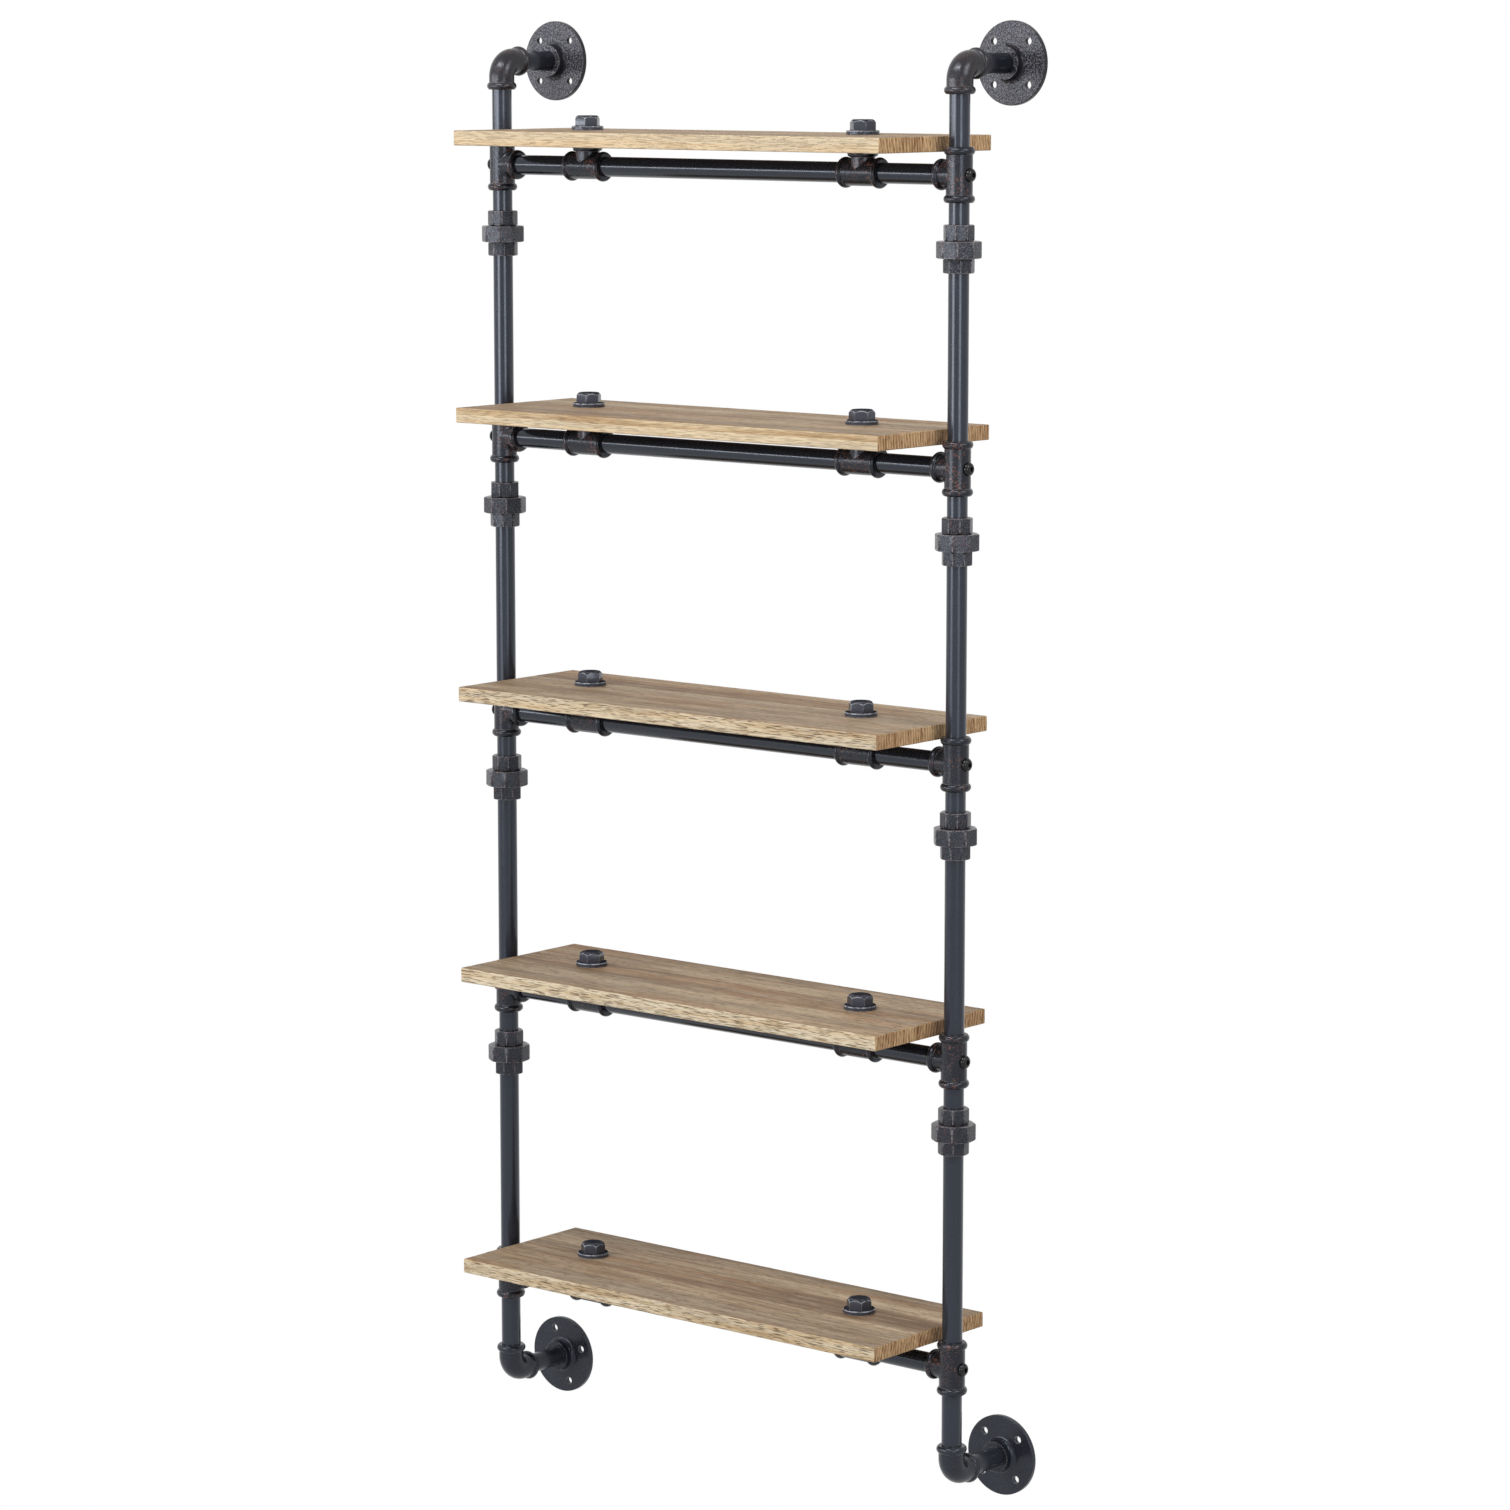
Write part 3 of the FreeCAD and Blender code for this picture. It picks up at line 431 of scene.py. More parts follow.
def turned_group(name, shells, materials, node, closed=False):
    """Turned shells as one piece, marked with how bare each point is and how strongly a glint is painted on
    it.
    closed says that the last row of a shell goes round to the first."""
    points, quads, edges = [], [], []
    start = 0
    for grid, edge in shells:
        index = np.arange(start, start + edge.size).reshape(edge.shape)
        index = np.vstack([index, index[:1]])
        if closed:
            index = np.hstack([index, index[:, :1]])
        quads.append(grid_faces(index))
        points.append(grid.reshape(-1, 3))
        edges.append(edge.reshape(-1))
        start += edge.size
    places, first, faces = weld(np.concatenate(points), np.concatenate(quads))
    piece = new_piece(name, places, faces, materials, node)
    mark(piece, "wear_and_glint", "POINT", np.concatenate(edges)[first])
    return piece


def sleeve_rows(low, high, half_flats, bore):
    """Closed section of an eight-sided sleeve: up the outside, in over the top, down the bore and out again.
    Towards an end the cap radius shrinks faster than the flats, so that the corners are cut back most."""
    corner = half_flats / math.cos(math.pi / UNION_SIDES)
    end = (half_flats - 0.2 * ARRIS, half_flats - 0.8 * ARRIS)
    shoulder = (corner - 1.4 * ARRIS, half_flats)
    side = (corner + ARRIS, half_flats)
    mouth = (bore + 0.5 * ARRIS, 0)
    wall = (bore, 0)
    return [(low, *end), (low + 0.5 * ARRIS, *shoulder), (low + 1.6 * ARRIS, *side),
            (high - 1.6 * ARRIS, *side), (high - 0.5 * ARRIS, *shoulder), (high, *end),
            (high, *mouth), (high - 0.5 * ARRIS, *wall), (low + 0.5 * ARRIS, *wall), (low, *mouth)]


uppers, nuts, lowers = [], [], []
for sign, side_turns in zip((-1, 1), UNION_TURNS):
    for rail, turns in zip(RAIL_Z, side_turns):
        middle = rail - UNION_DROP
        nut_low = middle - NUT_LENGTH / 2
        nut_high = middle + NUT_LENGTH / 2
        upper_low = nut_high + UNION_GAP
        lower_high = nut_low - UNION_GAP
        sleeves = ((uppers, upper_low, upper_low + UPPER_LENGTH, END_FLATS / 2, SOCKET),
                   (nuts, nut_low, nut_high, NUT_FLATS / 2, NUT_MOUTH),
                   (lowers, lower_high - LOWER_LENGTH, lower_high, END_FLATS / 2, SOCKET))
        for (shells, *sizes), turn in zip(sleeves, turns):
            points, corner = turned(sleeve_rows(*sizes), UNION_SIDES, math.radians(turn))
            placed = points + np.array([sign * UPRIGHT_X, UPRIGHT_Y, 0])
            shells.append((placed, np.maximum(SLEEVE_WEAR_AND_GLINT, corner)))

# Cast skin like that of the other fittings, with more pale specks higher up and painted shade in corners.
# Where the mesh is marked its edges are bared and painted with glints
UNION_FLECK_SHOW = 0.8
union_finish = Finish("union_iron")
union_clouds = union_finish.patches(size=0.02, detail=3, low=0.35, high=0.65)
union_tone = union_finish.mix(union_clouds, srgb(30, 31, 37), srgb(36, 36, 41))
union_specks = union_finish.patches(size=0.0012, detail=1, low=0.52, high=0.66, top=0.55)
union_rise = union_finish.span(union_finish.height(), low=-0.4, high=0.5, bottom=0.35)
union_tone = union_finish.mix(union_finish.times(union_specks, union_rise), union_tone, srgb(132, 131, 138))
union_flecks = union_finish.times(union_finish.patches(size=0.0018, detail=2, low=0.56, high=0.64),
                                  union_finish.patches(size=0.016, detail=2, low=0.54, high=0.68))
union_rub = union_finish.times(union_flecks, UNION_FLECK_SHOW)
union_tone = union_finish.mix(union_rub, union_tone, srgb(112, 70, 64))
# Edges bared in patches where the mesh is marked: partly wear, partly painted glints
union_chips_and_glints = union_finish.patches(size=0.0025, detail=3, low=0.40, high=0.58, bottom=0.1)
union_wear_and_glint = union_finish.times(union_finish.marked("wear_and_glint"), union_chips_and_glints)
union_tone = union_finish.mix(union_wear_and_glint, union_tone, srgb(150, 140, 142))
# Painted shade in corners
union_painted_shade = union_finish.corners(reach=0.008, low=0.25, high=0.9, strength=0.75)
union_tone = union_finish.mix(union_painted_shade, union_tone, srgb(12, 12, 14))
union_finish.relief(union_finish.noise(size=0.0018, detail=3), depth=0.0002)
union_roughness = union_finish.roughness(size=0.004, detail=2, gloss=(0.22, 0.38))
union_iron = union_finish.coat(union_tone, union_roughness, specular=0.36, tint=BLUE_SHEEN)
turned_group("union_upper_sleeves", uppers, [union_iron], "union_upper_ends", closed=True)
turned_group("union_ring_nuts", nuts, [union_iron], "union_nuts", closed=True)
turned_group("union_lower_sleeves", lowers, [union_iron], "union_lower_ends", closed=True)


# Rail inserts and tee screws
# A steel insert is pressed into each end of a rail. A black button-head screw goes through the outer side of
# the upright tee into the insert, and pulls the rail home.
insert_finish = Finish("insert_steel")
insert_clouds = insert_finish.noise(size=0.002, detail=2)
insert_tone = insert_finish.mix(insert_clouds, srgb(120, 120, 124), srgb(150, 150, 154))
insert_steel = insert_finish.coat(insert_tone, roughness=0.4, specular=0.35, metallic=1.0)
dress(["rail_inserts"], insert_steel)

SCREW_HEAD = 0.0042
SCREW_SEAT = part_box("tee_screws")[1].x - SCREW_HEAD
SCREW_SOCKET_SIDES = 6
SCREW_TURN = 0.4
# Height above the seat, radius, and half the size across the socket's flats: up the shank, over the head and
# down to the floor of the socket
SCREW_ROWS = [(-0.0360, 0, 0), (-0.0360, 0.0032, 0), (-0.0352, 0.0040, 0), (0, 0.0040, 0), (0, 0.0067, 0),
              (0.0003, 0.0070, 0), (0.0011, 0.0070, 0), (0.0018, 0.0068, 0), (0.0028, 0.0062, 0),
              (0.0036, 0.0053, 0), (0.00405, 0.0043, 0), (SCREW_HEAD, 0.0036, 0),
              (SCREW_HEAD, 0.0033, 0.0029), (0.0040, 0.0029, 0.0025), (0.0019, 0.0028, 0.0025),
              (0.0018, 0.0027, 0.0023), (0.0018, 0, 0)]
screws = []
for sign in (-1, 1):
    for number, rail in enumerate(RAIL_Z):
        points, corner = turned(SCREW_ROWS, SCREW_SOCKET_SIDES, number * SCREW_TURN)
        outwards = sign * (points[..., 2] + SCREW_SEAT)
        along_x = np.stack([outwards, points[..., 0], sign * points[..., 1]], axis=-1)
        screws.append((along_x + np.array([0, UPRIGHT_Y, rail]), np.zeros_like(corner)))

screw_finish = Finish("screw_black")
screw_tone = screw_finish.mix(screw_finish.noise(size=0.002, detail=2), srgb(10, 10, 12), srgb(17, 17, 20))
screw_roughness = screw_finish.roughness(size=0.003, detail=2, gloss=(0.12, 0.20))
screw_black = screw_finish.coat(screw_tone, screw_roughness, specular=0.3)
turned_group("tee_button_screws", screws, [screw_black], "tee_screws")


# Shelf boards
# Five boards of weathered oak, glued up from staves that run along the wall, with eased edges and a hole for
# each plug. They lie on the shelf tees. Their front edges are paler than the worn tops.
PLUG_FLANGE = 0.0172
PLUG_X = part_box("shelf_plugs")[1].x - PLUG_FLANGE
HOLE_RADIUS = 0.01115
HOLE_SLACK = 0.995
# In cells: from a board's middle to a plug, from there to the hole's rim, and to where the grid is square
PLUG_CELLS = 63
HOLE_CELLS = 4
BLEND_CELLS = 7
CELL_X = PLUG_X / PLUG_CELLS
CELL_Y = 0.003
CELL_LINES = np.arange(-100, 101)
EDGE_LINES = 8
EDGE_RADIUS = 0.0008
EDGE_WEAR = 0.0007
MOST_EASE = EDGE_RADIUS + EDGE_WEAR
EASE_STEPS = np.array([0.0, 0.35, 0.7, 1.0])
EASE_MARGIN = 1.6 * MOST_EASE
# Lengths of the waves in the edges' wear, and how much faster they run across a board than along it
WEAR_WAVES = np.array([0.071, 0.183, 0.029])
WEAR_SLANT = 2
# Glue joints, in cells from the plugs' line, how many cells they may shift, and the grid lines beside a joint
STAVE_JOINTS = np.array([-23, -9, 8, 19])
JOINT_SHIFT = 2
JOINT_DEPTH = 0.00025
JOINT_WIDTH = 0.0006
JOINT_LINES = JOINT_WIDTH * np.array([-1.8, -0.8, 0.8, 1.8])
JOINT_FACING = 0.7
STAVE_DROP = 0.00015
# Tone, 0 dark to 1 pale, of each board's five staves from the front to the wall, from the top board down
STAVE_TONES = [(0.5, 0.2, 0.8, 0.4, 0.6), (0.3, 0.6, 0.4, 0.9, 0.3), (0.4, 0.55, 0.9, 0.3, 0.7),
               (0.4, 0.6, 0.2, 0.65, 0.3), (0.45, 0.65, 0.2, 0.7, 0.4)]
# Tone, 0 dark to 1 pale, of the upper and the lower layer of each board's front edge, from the top board down
FRONT_LAYERS = [(0.75, 0.75), (0.12, 1.0), (0.35, 0.5), (0.7, 0.75), (0.45, 0.4)]
LAYER_SHARE = 0.56
# The upper boards' front edges are planed smooth, and the lower ones' left rough from the saw
SMOOTH_BOARDS = 2
# A board's materials by number: top and bottom, front and back, ends and holes
LEVEL = 0
FRONT = 1
END = 2
# How strongly streaks, pale lines and glue seams show, and how many streaks large warm and grey patches are
STREAK_SHOW = 0.90
WARM_SIZE = 1.3
GREY_SIZE = 1.9
PALE_LINE_SHOW = 0.8
SEAM_SHOW = 0.6
OAK_SPECULAR = 0.25
board_rng = np.random.default_rng(20)


def oak_finish(name, pale, middle, dark, warm, grey, pore, stave_show, streak, line_share, line_show,
               pore_size, pore_show):
    """Oak: stave tones, streaks along the grain, warm and grey patches, fine lines and short dark pores.
    streak and pore_size are sizes along X, Y and Z in metres, line_share is what share of a streak's sizes a
    line has, and stave_show, line_show and pore_show are how strongly a stave's own tone, the lines and the
    pores show."""
    streak = np.array(streak)
    finish = Finish(name)
    value = finish.combine("ADD", finish.times(finish.marked("stave_tone"), stave_show),
                           finish.times(finish.noise(streak, detail=5, distortion=0.5), STREAK_SHOW))
    tone = finish.shade(value, (0.40, dark), (0.59, middle), (0.78, pale))
    warmth = finish.patches(streak * WARM_SIZE, detail=3, low=0.50, high=0.66, top=0.60, distortion=0.8)
    tone = finish.mix(warmth, tone, warm)
    greying = finish.patches(streak * GREY_SIZE, detail=3, low=0.48, high=0.62, top=0.65, distortion=0.6)
    tone = finish.mix(greying, tone, grey)
    lines = finish.noise(streak * line_share, detail=4, distortion=0.15)
    tone = finish.mix(finish.span(lines, low=0.38, high=0.49, bottom=line_show, top=0.0), tone, dark)
    tone = finish.mix(finish.span(lines, low=0.53, high=0.64, top=PALE_LINE_SHOW * line_show), tone, pale)
    tone = finish.mix(finish.times(finish.marked("glue_seam"), SEAM_SHOW), tone, dark)
    pores = finish.patches(pore_size, detail=1, low=0.57, high=0.65, distortion=0.1)
    tone = finish.mix(finish.times(pores, pore_show), tone, pore)
    finish.relief(finish.combine("SUBTRACT", lines, pores), depth=0.0003)
    return finish.coat(tone, finish.span(lines, low=0.3, high=0.7, bottom=0.66, top=0.55), OAK_SPECULAR)


oak_top = oak_finish(
    "oak_top", pale=srgb(200, 177, 147), middle=srgb(167, 142, 114), dark=srgb(124, 98, 74),
    warm=srgb(170, 128, 91), grey=srgb(152, 137, 116), pore=srgb(96, 76, 56), stave_show=0.30,
    streak=(0.36, 0.024, 0.024), line_share=(0.16, 0.20, 0.20), line_show=0.42,
    pore_size=(0.010, 0.0028, 0.0028), pore_show=0.46)
oak_edge = oak_finish(
    "oak_edge", pale=srgb(232, 217, 189), middle=srgb(208, 184, 148), dark=srgb(164, 132, 94),
    warm=srgb(212, 180, 136), grey=srgb(206, 195, 174), pore=srgb(104, 82, 60), stave_show=0.45,
    streak=(0.16, 0.010, 0.006), line_share=(0.13, 0.32, 0.18), line_show=0.70,
    pore_size=(0.014, 0.0009, 0.0009), pore_show=0.85)
oak_smooth_edge = oak_finish(
    "oak_smooth_edge", pale=srgb(226, 206, 172), middle=srgb(212, 188, 150), dark=srgb(176, 144, 106),
    warm=srgb(206, 172, 130), grey=srgb(206, 190, 164), pore=srgb(128, 102, 76), stave_show=0.45,
    streak=(0.16, 0.010, 0.006), line_share=(0.20, 0.25, 0.14), line_show=0.45,
    pore_size=(0.016, 0.0007, 0.0007), pore_show=0.35)

# Sawn ends: growth rings about a heart far off, in another place for each stave, so that they run nearly
# upright, with fibres and short dark pores between them. WAVE_RATE is how fast the wave node's phase grows
WAVE_RATE = 20
RING_WIDTH = 0.0042
RING_SHOW = 0.28
END_STAVE_SHOW = 0.25
END_PORE_SHOW = 0.6
HEART_PLACE = (0.0, 0.45, -0.2)
HEART_STRETCH = (1.0, 1.0, 0.4)
HEART_SHIFT = (0.0, 0.31, 0.4)
END_DARK = srgb(140, 94, 58)
end_finish = Finish("oak_end")
end_stave = end_finish.marked("stave_tone")
from_heart = end_finish.nodes.new("ShaderNodeMapping")
from_heart.inputs["Scale"].default_value = HEART_STRETCH
from_heart.inputs["Location"].default_value = HEART_PLACE
end_finish.feed(from_heart.inputs["Vector"], end_finish.place)
shifted = end_finish.nodes.new("ShaderNodeVectorMath")
shifted.operation = "MULTIPLY_ADD"
end_finish.feed(shifted.inputs[0], end_stave)
end_finish.feed(shifted.inputs[1], HEART_SHIFT)
end_finish.feed(shifted.inputs[2], from_heart.outputs["Vector"])
ring_node = end_finish.nodes.new("ShaderNodeTexWave")
ring_node.wave_type = "RINGS"
ring_node.rings_direction = "X"
ring_node.inputs["Scale"].default_value = 2 * math.pi / (WAVE_RATE * RING_WIDTH)
ring_node.inputs["Distortion"].default_value = 2.0
ring_node.inputs["Detail"].default_value = 3.0
ring_node.inputs["Detail Scale"].default_value = 0.5
end_finish.feed(ring_node.inputs["Vector"], shifted.outputs[0])
rings = ring_node.outputs["Fac"]
fibres = end_finish.noise(size=(0.02, 0.0021, 0.014), detail=4, distortion=0.4)
end_value = end_finish.combine("ADD", end_finish.times(rings, RING_SHOW), fibres)
end_value = end_finish.combine("ADD", end_value, end_finish.times(end_stave, END_STAVE_SHOW))
end_tone = end_finish.shade(end_value, (0.44, END_DARK), (1.0, srgb(238, 200, 152)))
end_pores = end_finish.patches(size=(0.004, 0.0014, 0.006), detail=2, low=0.54, high=0.66, distortion=0.2)
end_tone = end_finish.mix(end_finish.times(end_pores, END_PORE_SHOW), end_tone, srgb(92, 60, 38))
end_tone = end_finish.mix(end_finish.times(end_finish.marked("glue_seam"), SEAM_SHOW), end_tone, END_DARK)
end_finish.relief(end_finish.combine("SUBTRACT", rings, end_pores), depth=0.0002)
oak_end = end_finish.coat(end_tone, roughness=0.62, specular=OAK_SPECULAR)


def bored_plate(x_lines, y_lines, z):
    """A level grid with a round hole at each plug. Round a hole the grid's squares turn step by step into
    circles: a point goes the share t of the way from the hole's circle to the square where the grid is as it
    was, from 0 at the hole to 1 there. The point in the middle of a hole stays."""
    x, y = np.meshgrid(x_lines, y_lines, indexing="ij")
    for centre in (-PLUG_X, PLUG_X):
        across, along = (x - centre) / CELL_X, (y - UPRIGHT_Y) / CELL_Y
        square = np.maximum(np.abs(across), np.abs(along))
        near = (square > 0.5) & (square < BLEND_CELLS)
        t = np.clip((square - HOLE_CELLS) / (BLEND_CELLS - HOLE_CELLS), 0, 1)
        circle = HOLE_RADIUS / np.hypot(x - centre, y - UPRIGHT_Y, where=near, out=np.ones_like(x))
        outer = BLEND_CELLS / np.where(near, square, 1)
        scale = np.where(near, (1 - t) * circle + t * outer, 1)
        x = np.where(near, centre + (x - centre) * scale, x)
        y = np.where(near, UPRIGHT_Y + (y - UPRIGHT_Y) * scale, y)
    return np.stack([x, y, np.full_like(x, z)], axis=-1)


def eased_lines(low, high, inner):
    """Grid lines from low to high: a few close lines at each eased edge, and the inner ones between them."""
    edge = MOST_EASE * (1 - EASE_STEPS)
    inner = inner[(inner > low + EASE_MARGIN) & (inner < high - EASE_MARGIN)]
    return np.unique(np.round(np.concatenate([low + edge, high - edge, inner]), WELD_DIGITS))


def sharp_board(low, high, joints):
    """A board as a sharp box: grids of points on its six faces and on the walls of its two holes, which join
    the rims on the top and the bottom. Returns points, quads and the number of each quad's material."""
    beside_joints = (joints[:, None] + JOINT_LINES).reshape(-1)
    x_lines = eased_lines(low[0], high[0], CELL_X * CELL_LINES)
    y_lines = eased_lines(low[1], high[1], np.concatenate([UPRIGHT_Y + CELL_Y * CELL_LINES, beside_joints]))
    z_lines = eased_lines(low[2], high[2], np.linspace(low[2], high[2], EDGE_LINES))
    top = bored_plate(x_lines, y_lines, high[2])
    bottom = bored_plate(x_lines, y_lines, low[2])
    grids = [(top, LEVEL), (bottom[::-1], LEVEL)]
    for y, way in ((low[1], 1), (high[1], -1)):
        x, z = np.meshgrid(x_lines[::way], z_lines, indexing="ij")
        grids.append((np.stack([x, np.full_like(x, y), z], axis=-1), FRONT))
    for x, way in ((high[0], 1), (low[0], -1)):
        y, z = np.meshgrid(y_lines[::way], z_lines, indexing="ij")
        grids.append((np.stack([np.full_like(y, x), y, z], axis=-1), END))

    # The rim in cells from the plug, once round and back to its start
    side = np.arange(-HOLE_CELLS, HOLE_CELLS)
    still = np.full_like(side, HOLE_CELLS)
    rim_x = np.concatenate([side, still, -side, -still])
    rim_y = np.roll(rim_x, len(side))
    rim_x, rim_y = np.append(rim_x, rim_x[0]), np.append(rim_y, rim_y[0])
    rows = np.abs(y_lines[:, None] - UPRIGHT_Y - CELL_Y * rim_y).argmin(axis=0)
    for centre in (-PLUG_CELLS, PLUG_CELLS):
        columns = np.abs(x_lines[:, None] - CELL_X * (centre + rim_x)).argmin(axis=0)
        grids.append((np.stack([top[columns, rows], bottom[columns, rows]], axis=1), END))

    points, quads, slots = [], [], []
    start = 0
    for grid, slot in grids:
        flat = grid.reshape(-1, 3)
        made = grid_faces(np.arange(len(flat)).reshape(grid.shape[:2]))
        if slot == LEVEL:
            middle = flat[made].mean(axis=1)
            away = np.hypot(np.abs(middle[:, 0]) - PLUG_X, middle[:, 1] - UPRIGHT_Y)
            made = made[away > HOLE_RADIUS * HOLE_SLACK]
        points.append(flat)
        quads.append(start + made)
        slots.append(np.full(len(made), slot))
        start += len(flat)
    return np.concatenate(points), np.concatenate(quads), np.concatenate(slots)


def eased_board(points, low, high, joints, drops, phases):
    """Rounds a sharp board and sets its staves. A point goes to the box shrunk by the easing and then out
    again by as much, less the drop of its stave and a groove at each glue joint. The easing swells with the
    mean of sine waves, and the groove is a bell curve of the way to the joint. Returns points and how near
    each is to a joint."""
    along = points[:, 0] + WEAR_SLANT * points[:, 1]
    swell = np.sin(2 * np.pi * along[:, None] / WEAR_WAVES + phases).mean(axis=1)
    ease = EDGE_RADIUS + EDGE_WEAR * (0.5 + 0.5 * swell)
    inner = np.clip(points, low + ease[:, None], high - ease[:, None])
    outwards = points - inner
    outwards /= np.linalg.norm(outwards, axis=1, keepdims=True)
    seam = np.exp(-(np.abs(points[:, 1, None] - joints).min(axis=1) / JOINT_WIDTH) ** 2)
    groove = JOINT_DEPTH * seam * (np.abs(outwards[:, 1]) < JOINT_FACING)
    sunk = drops[np.searchsorted(joints, points[:, 1])] + groove
    return inner + outwards * (ease - sunk)[:, None], seam


for number, stave_tones, front_layers in zip(SHELF_NUMBERS, np.array(STAVE_TONES), np.array(FRONT_LAYERS)):
    node = f"shelf_board_{number}"
    low, high = (np.array(corner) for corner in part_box(node))
    shifts = board_rng.integers(-JOINT_SHIFT, JOINT_SHIFT + 1, len(STAVE_JOINTS))
    joints = UPRIGHT_Y + CELL_Y * (STAVE_JOINTS + shifts)
    drops = board_rng.uniform(0, STAVE_DROP, len(stave_tones))
    phases = board_rng.uniform(0, 2 * np.pi, len(WEAR_WAVES))
    points, quads, slots = sharp_board(low, high, joints)
    points, seam = eased_board(points, low, high, joints, drops, phases)
    places, first, faces = weld(points, quads)
    front_edge = oak_smooth_edge if number <= SMOOTH_BOARDS else oak_edge
    board = new_piece(f"oak_board_{number}", places, faces, [oak_top, front_edge, oak_end], node)
    board.data.polygons.foreach_set("material_index", slots.astype(np.int32))
    mark(board, "glue_seam", "POINT", seam[first])
    centres = points[quads].mean(axis=1)
    layer = (centres[:, 2] < low[2] + LAYER_SHARE * (high[2] - low[2])).astype(int)
    stave = np.searchsorted(joints, centres[:, 1])
    mark(board, "stave_tone", "FACE", np.where(slots == FRONT, front_layers[layer], stave_tones[stave]))


# Shelf plugs
# Black steel plugs with a flanged six-sided head, screwed down through the board into the shelf tee below.
# Lacquered glossier than the castings; the corners and the arches of the chamfer, and the flange's rim, are
# partly bared by the spanner and partly painted with glints.
PLUG_SIDES = 6
PLUG_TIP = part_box("shelf_plugs")[0].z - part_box("shelf_board_5")[1].z
PLUG_TIP_EDGE = 0.0008
HEX_HALF = 0.0120
HEX_CORNER = HEX_HALF / math.cos(math.pi / PLUG_SIDES)
HEX_CAP = HEX_CORNER + 0.001
FLANGE_TOP = 0.0044
FLANGE_ROUNDING = 0.0008
HEAD_TOP = 0.0156
HEAD_FILLET = 0.0005
CROWN = HEX_HALF - 0.0014
ARCH_START = 0.0001
ARCH_ROUNDING = 0.0004
# Height above the board and radius of the round rows below and above the head, and how bare each is, with its
# painted glint
PLUG_FOOT = [(PLUG_TIP, 0.0), (PLUG_TIP, PIPE_RADIUS - PLUG_TIP_EDGE),
             (PLUG_TIP + PLUG_TIP_EDGE, PIPE_RADIUS), (-0.0002, PIPE_RADIUS), (0.0, PLUG_FLANGE - 0.0003),
             (0.0003, PLUG_FLANGE), (0.0009, PLUG_FLANGE), (FLANGE_TOP - 0.0014, PLUG_FLANGE),
             (FLANGE_TOP - FLANGE_ROUNDING, PLUG_FLANGE),
             (FLANGE_TOP - 0.0003, PLUG_FLANGE - 0.0002), (FLANGE_TOP - 0.0001, PLUG_FLANGE - 0.0005),
             (FLANGE_TOP, PLUG_FLANGE - FLANGE_ROUNDING)]
PLUG_FOOT_WEAR_AND_GLINT = [0.0, 0.0, 0.0, 0.0, 0.2, 0.5, 0.0, 0.0, 0.6, 1.0, 0.6, 0.0]
PLUG_CROWN = [(HEAD_TOP - 0.00044, CROWN + 0.00044), (HEAD_TOP - 0.00012, CROWN - 0.00005),
              (HEAD_TOP, CROWN - 0.0006), (HEAD_TOP, 0.006), (HEAD_TOP, 0.0)]
PLUG_CROWN_WEAR_AND_GLINT = [0.1, 0.3, 0.1, 0.0, 0.0]
# How bare the head's corners are at its foot and under the arches, and how bare the arches are: partly wear,
# partly a painted glint
FOOT_CORNER = 0.1
ARCH_CORNER = 0.4
ARCH_EDGE = 1.0
ARCH_TOP = 0.5
# How far each plug is screwed round, from the top board down, the left one first
PLUG_TURNS = [(30, 53), (28, 5), (25, 48), (21, 59), (57, 50)]
# Faces that look up more steeply than this are the crown's
CROWN_SLOPE = 0.5


def plug_shell(turn):
    """A plug about Z on a grid of angle by row. Shank, flange and crown are round rows. The head between them
    keeps the radius of a soft hexagon up to the arch where the chamfer cuts each flat. The chamfer is a cone
    of 45 degrees, which drops as far as it goes out from the crown, so its arch is lowest at the corners.
    Returns points and how bare each is, with its painted glint."""
    ring, corner = turned([(0.0, HEX_CAP, HEX_HALF)], PLUG_SIDES, turn)
    hexagon = np.hypot(ring[..., 0], ring[..., 1])
    angle = np.arctan2(ring[..., 1], ring[..., 0])

    def round_rows(rows):
        """Heights and radii of rows that are the same all round."""
        height, radius = np.array(rows).T
        shape = (TURN_STEPS, len(rows))
        return np.broadcast_to(height, shape), np.broadcast_to(radius, shape)

    def on_cone(radius):
        """Height of the chamfer at a radius."""
        return HEAD_TOP - (radius - CROWN)

    foot_z, foot_r = round_rows(PLUG_FOOT)
    crown_z, crown_r = round_rows(PLUG_CROWN)
    chamfer_r = np.hstack([hexagon - ARCH_START, hexagon - ARCH_ROUNDING, (hexagon + CROWN) / 2])
    head_r = np.hstack([hexagon + HEAD_FILLET, hexagon, hexagon, chamfer_r])
    head_z = np.hstack([np.full_like(hexagon, FLANGE_TOP), np.full_like(hexagon, FLANGE_TOP + HEAD_FILLET),
                        on_cone(hexagon) - ARCH_ROUNDING, on_cone(chamfer_r)])
    radius = np.hstack([foot_r, head_r, crown_r])
    height = np.hstack([foot_z, head_z, crown_z])
    points = np.stack([radius * np.cos(angle), radius * np.sin(angle), height], axis=-1)
    none = np.zeros_like(corner)
    head_edge = [none, corner * FOOT_CORNER, corner * ARCH_CORNER, none + ARCH_EDGE, none + ARCH_TOP, none]
    edge = np.hstack([none + PLUG_FOOT_WEAR_AND_GLINT, *head_edge, none + PLUG_CROWN_WEAR_AND_GLINT])
    return points, edge


plugs = []
for number, turns in zip(SHELF_NUMBERS, PLUG_TURNS):
    board_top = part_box(f"shelf_board_{number}")[1].z
    for sign, turn in zip((-1, 1), turns):
        points, edge = plug_shell(math.radians(turn))
        plugs.append((points + np.array([sign * PLUG_X, UPRIGHT_Y, board_top]), edge))


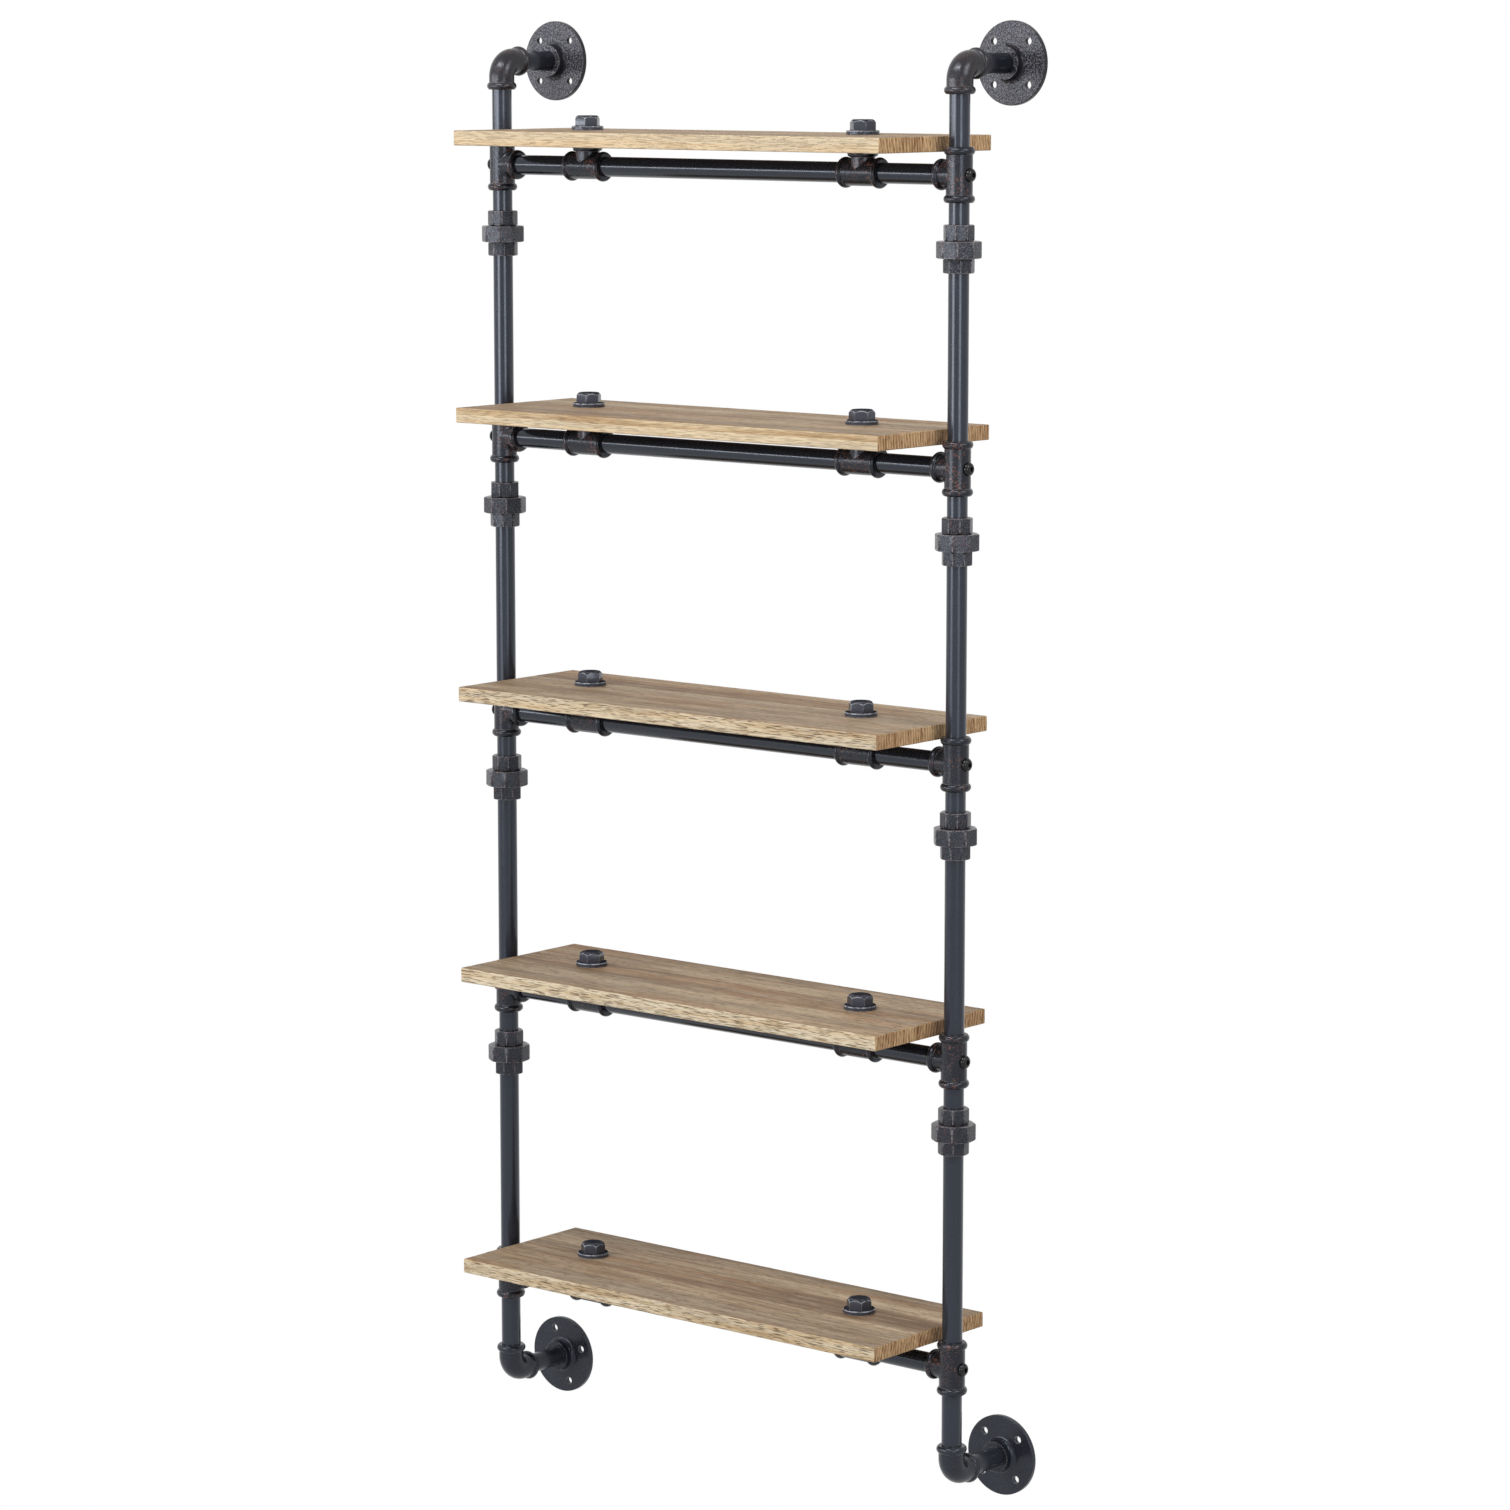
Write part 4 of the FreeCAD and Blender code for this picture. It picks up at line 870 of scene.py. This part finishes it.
def plug_lacquer(name, dark, pale, specular):
    """Glossy black lacquer, clouded between two tones; where the mesh is marked, chipped to bare steel and
    painted with glints.
    """
    finish = Finish(name)
    tone = finish.mix(finish.noise(size=0.004, detail=3), dark, pale)
    # Chipped to bare steel and painted with glints where the mesh is marked
    chips_and_glints = finish.patches(size=0.0045, detail=2, low=0.40, high=0.58, bottom=0.20)
    tone = finish.mix(finish.times(finish.marked("wear_and_glint"), chips_and_glints), tone, srgb(180, 182, 190))
    finish.relief(finish.noise(size=0.002, detail=2), depth=0.00006)
    return finish.coat(tone, finish.roughness(size=0.006, detail=2, gloss=(0.08, 0.14)), specular, BLUE_SHEEN)


plug_side = plug_lacquer("plug_side", dark=srgb(56, 57, 66), pale=srgb(68, 69, 78), specular=0.4)
plug_crown = plug_lacquer("plug_crown", dark=srgb(50, 51, 58), pale=srgb(56, 57, 64), specular=0.0)
hex_plugs = turned_group("shelf_hex_plugs", plugs, [plug_side, plug_crown], "shelf_plugs")
plug_ways = np.empty(3 * len(hex_plugs.data.polygons), np.float32)
hex_plugs.data.polygons.foreach_get("normal", plug_ways)
hex_plugs.data.polygons.foreach_set("material_index", (plug_ways[2::3] > CROWN_SLOPE).astype(np.int32))


# Floor, light and camera
# A pale floor well below the hanging unit and a white surround. Light comes from a wide strip, a box and a
# low box in front of the unit, two boxes between its front and its right end, one at that end and one above.
WHITE = (1.0, 1.0, 1.0, 1.0)
FLOOR_DROP = 0.48
FLOOR_REACH = 0.9
FLOOR_TONE = srgb(244, 244, 244)
FLOOR_ROUGHNESS = 0.9
# From the middle to this share of the floor's reach it fades least into the white, and at its edge fully
FADE_START = 0.3
LEAST_FADE = 0.82
floor_z = cad_low.z - FLOOR_DROP
floor_corners = [(-FLOOR_REACH, -FLOOR_REACH, floor_z), (FLOOR_REACH, -FLOOR_REACH, floor_z),
                 (FLOOR_REACH, FLOOR_REACH, floor_z), (-FLOOR_REACH, FLOOR_REACH, floor_z)]
floor_mesh = bpy.data.meshes.new("floor")
floor_mesh.from_pydata(floor_corners, [], [(0, 1, 2, 3)])
floor = bpy.data.objects.new("floor", floor_mesh)
scene.collection.objects.link(floor)
floor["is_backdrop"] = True


def seen_directly(tree):
    """1 for rays from the camera and for rays that were mirrored or let through, 0 for light on things."""
    path = tree.nodes.new("ShaderNodeLightPath")
    highest = path.outputs["Is Camera Ray"]
    for name in ("Is Glossy Ray", "Is Transmission Ray"):
        larger = tree.nodes.new("ShaderNodeMath")
        larger.operation = "MAXIMUM"
        tree.links.new(highest, larger.inputs[0])
        tree.links.new(path.outputs[name], larger.inputs[1])
        highest = larger.outputs[0]
    return highest


floor_paint = bpy.data.materials.new("floor_paint")
floor_paint.use_nodes = True
floor_tree = floor_paint.node_tree
matt = floor_tree.nodes["Principled BSDF"]
matt.inputs["Base Color"].default_value = FLOOR_TONE
matt.inputs["Roughness"].default_value = FLOOR_ROUGHNESS
white = floor_tree.nodes.new("ShaderNodeEmission")
floor_place = floor_tree.nodes.new("ShaderNodeTexCoord")
floor_way = floor_tree.nodes.new("ShaderNodeVectorMath")
floor_way.operation = "DISTANCE"
floor_way.inputs[1].default_value = (0.0, 0.0, floor_z)
floor_tree.links.new(floor_place.outputs["Object"], floor_way.inputs[0])
fade = floor_tree.nodes.new("ShaderNodeMapRange")
fade.interpolation_type = "SMOOTHSTEP"
fade.inputs["From Min"].default_value = FADE_START * FLOOR_REACH
fade.inputs["From Max"].default_value = FLOOR_REACH
fade.inputs["To Min"].default_value = LEAST_FADE
floor_tree.links.new(floor_way.outputs["Value"], fade.inputs["Value"])
share = floor_tree.nodes.new("ShaderNodeMath")
share.operation = "MULTIPLY"
floor_tree.links.new(seen_directly(floor_tree), share.inputs[0])
floor_tree.links.new(fade.outputs["Result"], share.inputs[1])
blend = floor_tree.nodes.new("ShaderNodeMixShader")
floor_tree.links.new(share.outputs[0], blend.inputs[0])
floor_tree.links.new(matt.outputs[0], blend.inputs[1])
floor_tree.links.new(white.outputs[0], blend.inputs[2])
floor_tree.links.new(blend.outputs[0], floor_tree.nodes["Material Output"].inputs["Surface"])
floor_mesh.materials.append(floor_paint)

SURROUND_LIGHT = 0.13
world = bpy.data.worlds.new("surround")
world.use_nodes = True
scene.world = world
world_tree = world.node_tree
lit = world_tree.nodes["Background"]
lit.inputs["Strength"].default_value = SURROUND_LIGHT
lit.inputs["Color"].default_value = WHITE
shown = world_tree.nodes.new("ShaderNodeBackground")
shown.inputs["Color"].default_value = WHITE
surround = world_tree.nodes.new("ShaderNodeMixShader")
world_tree.links.new(seen_directly(world_tree), surround.inputs[0])
world_tree.links.new(lit.outputs[0], surround.inputs[1])
world_tree.links.new(shown.outputs[0], surround.inputs[2])
world_tree.links.new(surround.outputs[0], world_tree.nodes["World Output"].inputs["Surface"])


def soft_box(name, azimuth, elevation, distance, width, height, share):
    """An area light that looks at the middle of the frame, at angles in degrees seen from there: azimuth 0
    is straight ahead of the shelves and 90 at their right end. share is how much of full light it gives
    head-on."""
    lamp = bpy.data.lights.new(name, "AREA")
    lamp.shape = "RECTANGLE"
    lamp.size = width
    lamp.size_y = height
    lamp.energy = share * (math.pi * distance) ** 2
    box = bpy.data.objects.new(name, lamp)
    turn, rise = math.radians(azimuth), math.radians(elevation)
    way = Vector((math.sin(turn) * math.cos(rise), -math.cos(turn) * math.cos(rise), math.sin(rise)))
    box.location = way * distance
    box.rotation_euler = way.to_track_quat("Z", "Y").to_euler()
    scene.collection.objects.link(box)


soft_box("front_strip", azimuth=-29, elevation=13, distance=3.5, width=4.0, height=0.33, share=0.31)
soft_box("front_box", azimuth=-17, elevation=4, distance=3.5, width=1.5, height=0.75, share=0.20)
soft_box("front_low", azimuth=-17, elevation=-5, distance=3.5, width=1.5, height=0.4, share=0.03)
soft_box("side_strip", azimuth=57, elevation=6, distance=3.5, width=1.2, height=0.75, share=0.12)
soft_box("side_low", azimuth=64, elevation=-4, distance=3.5, width=1.0, height=0.6, share=0.03)
soft_box("right_box", azimuth=86, elevation=35, distance=3.4, width=1.4, height=1.2, share=0.30)
soft_box("top_box", azimuth=2, elevation=55, distance=3.2, width=2.2, height=0.4, share=0.55)

CAMERA_PLACE = (3.294, -4.005, 0.760)
CAMERA_TURN = math.radians(39.69)
CAMERA_TILT = math.radians(8.45)
CAMERA_LENS = 115.76
CAMERA_SENSOR = 36.0
camera_data = bpy.data.cameras.new("camera")
camera_data.lens = CAMERA_LENS
camera_data.sensor_width = CAMERA_SENSOR
camera = bpy.data.objects.new("camera", camera_data)
camera.location = CAMERA_PLACE
camera.rotation_euler = (math.pi / 2 - CAMERA_TILT, 0, CAMERA_TURN)
scene.collection.objects.link(camera)
scene.camera = camera

scene.view_settings.view_transform = "Standard"

low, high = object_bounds()
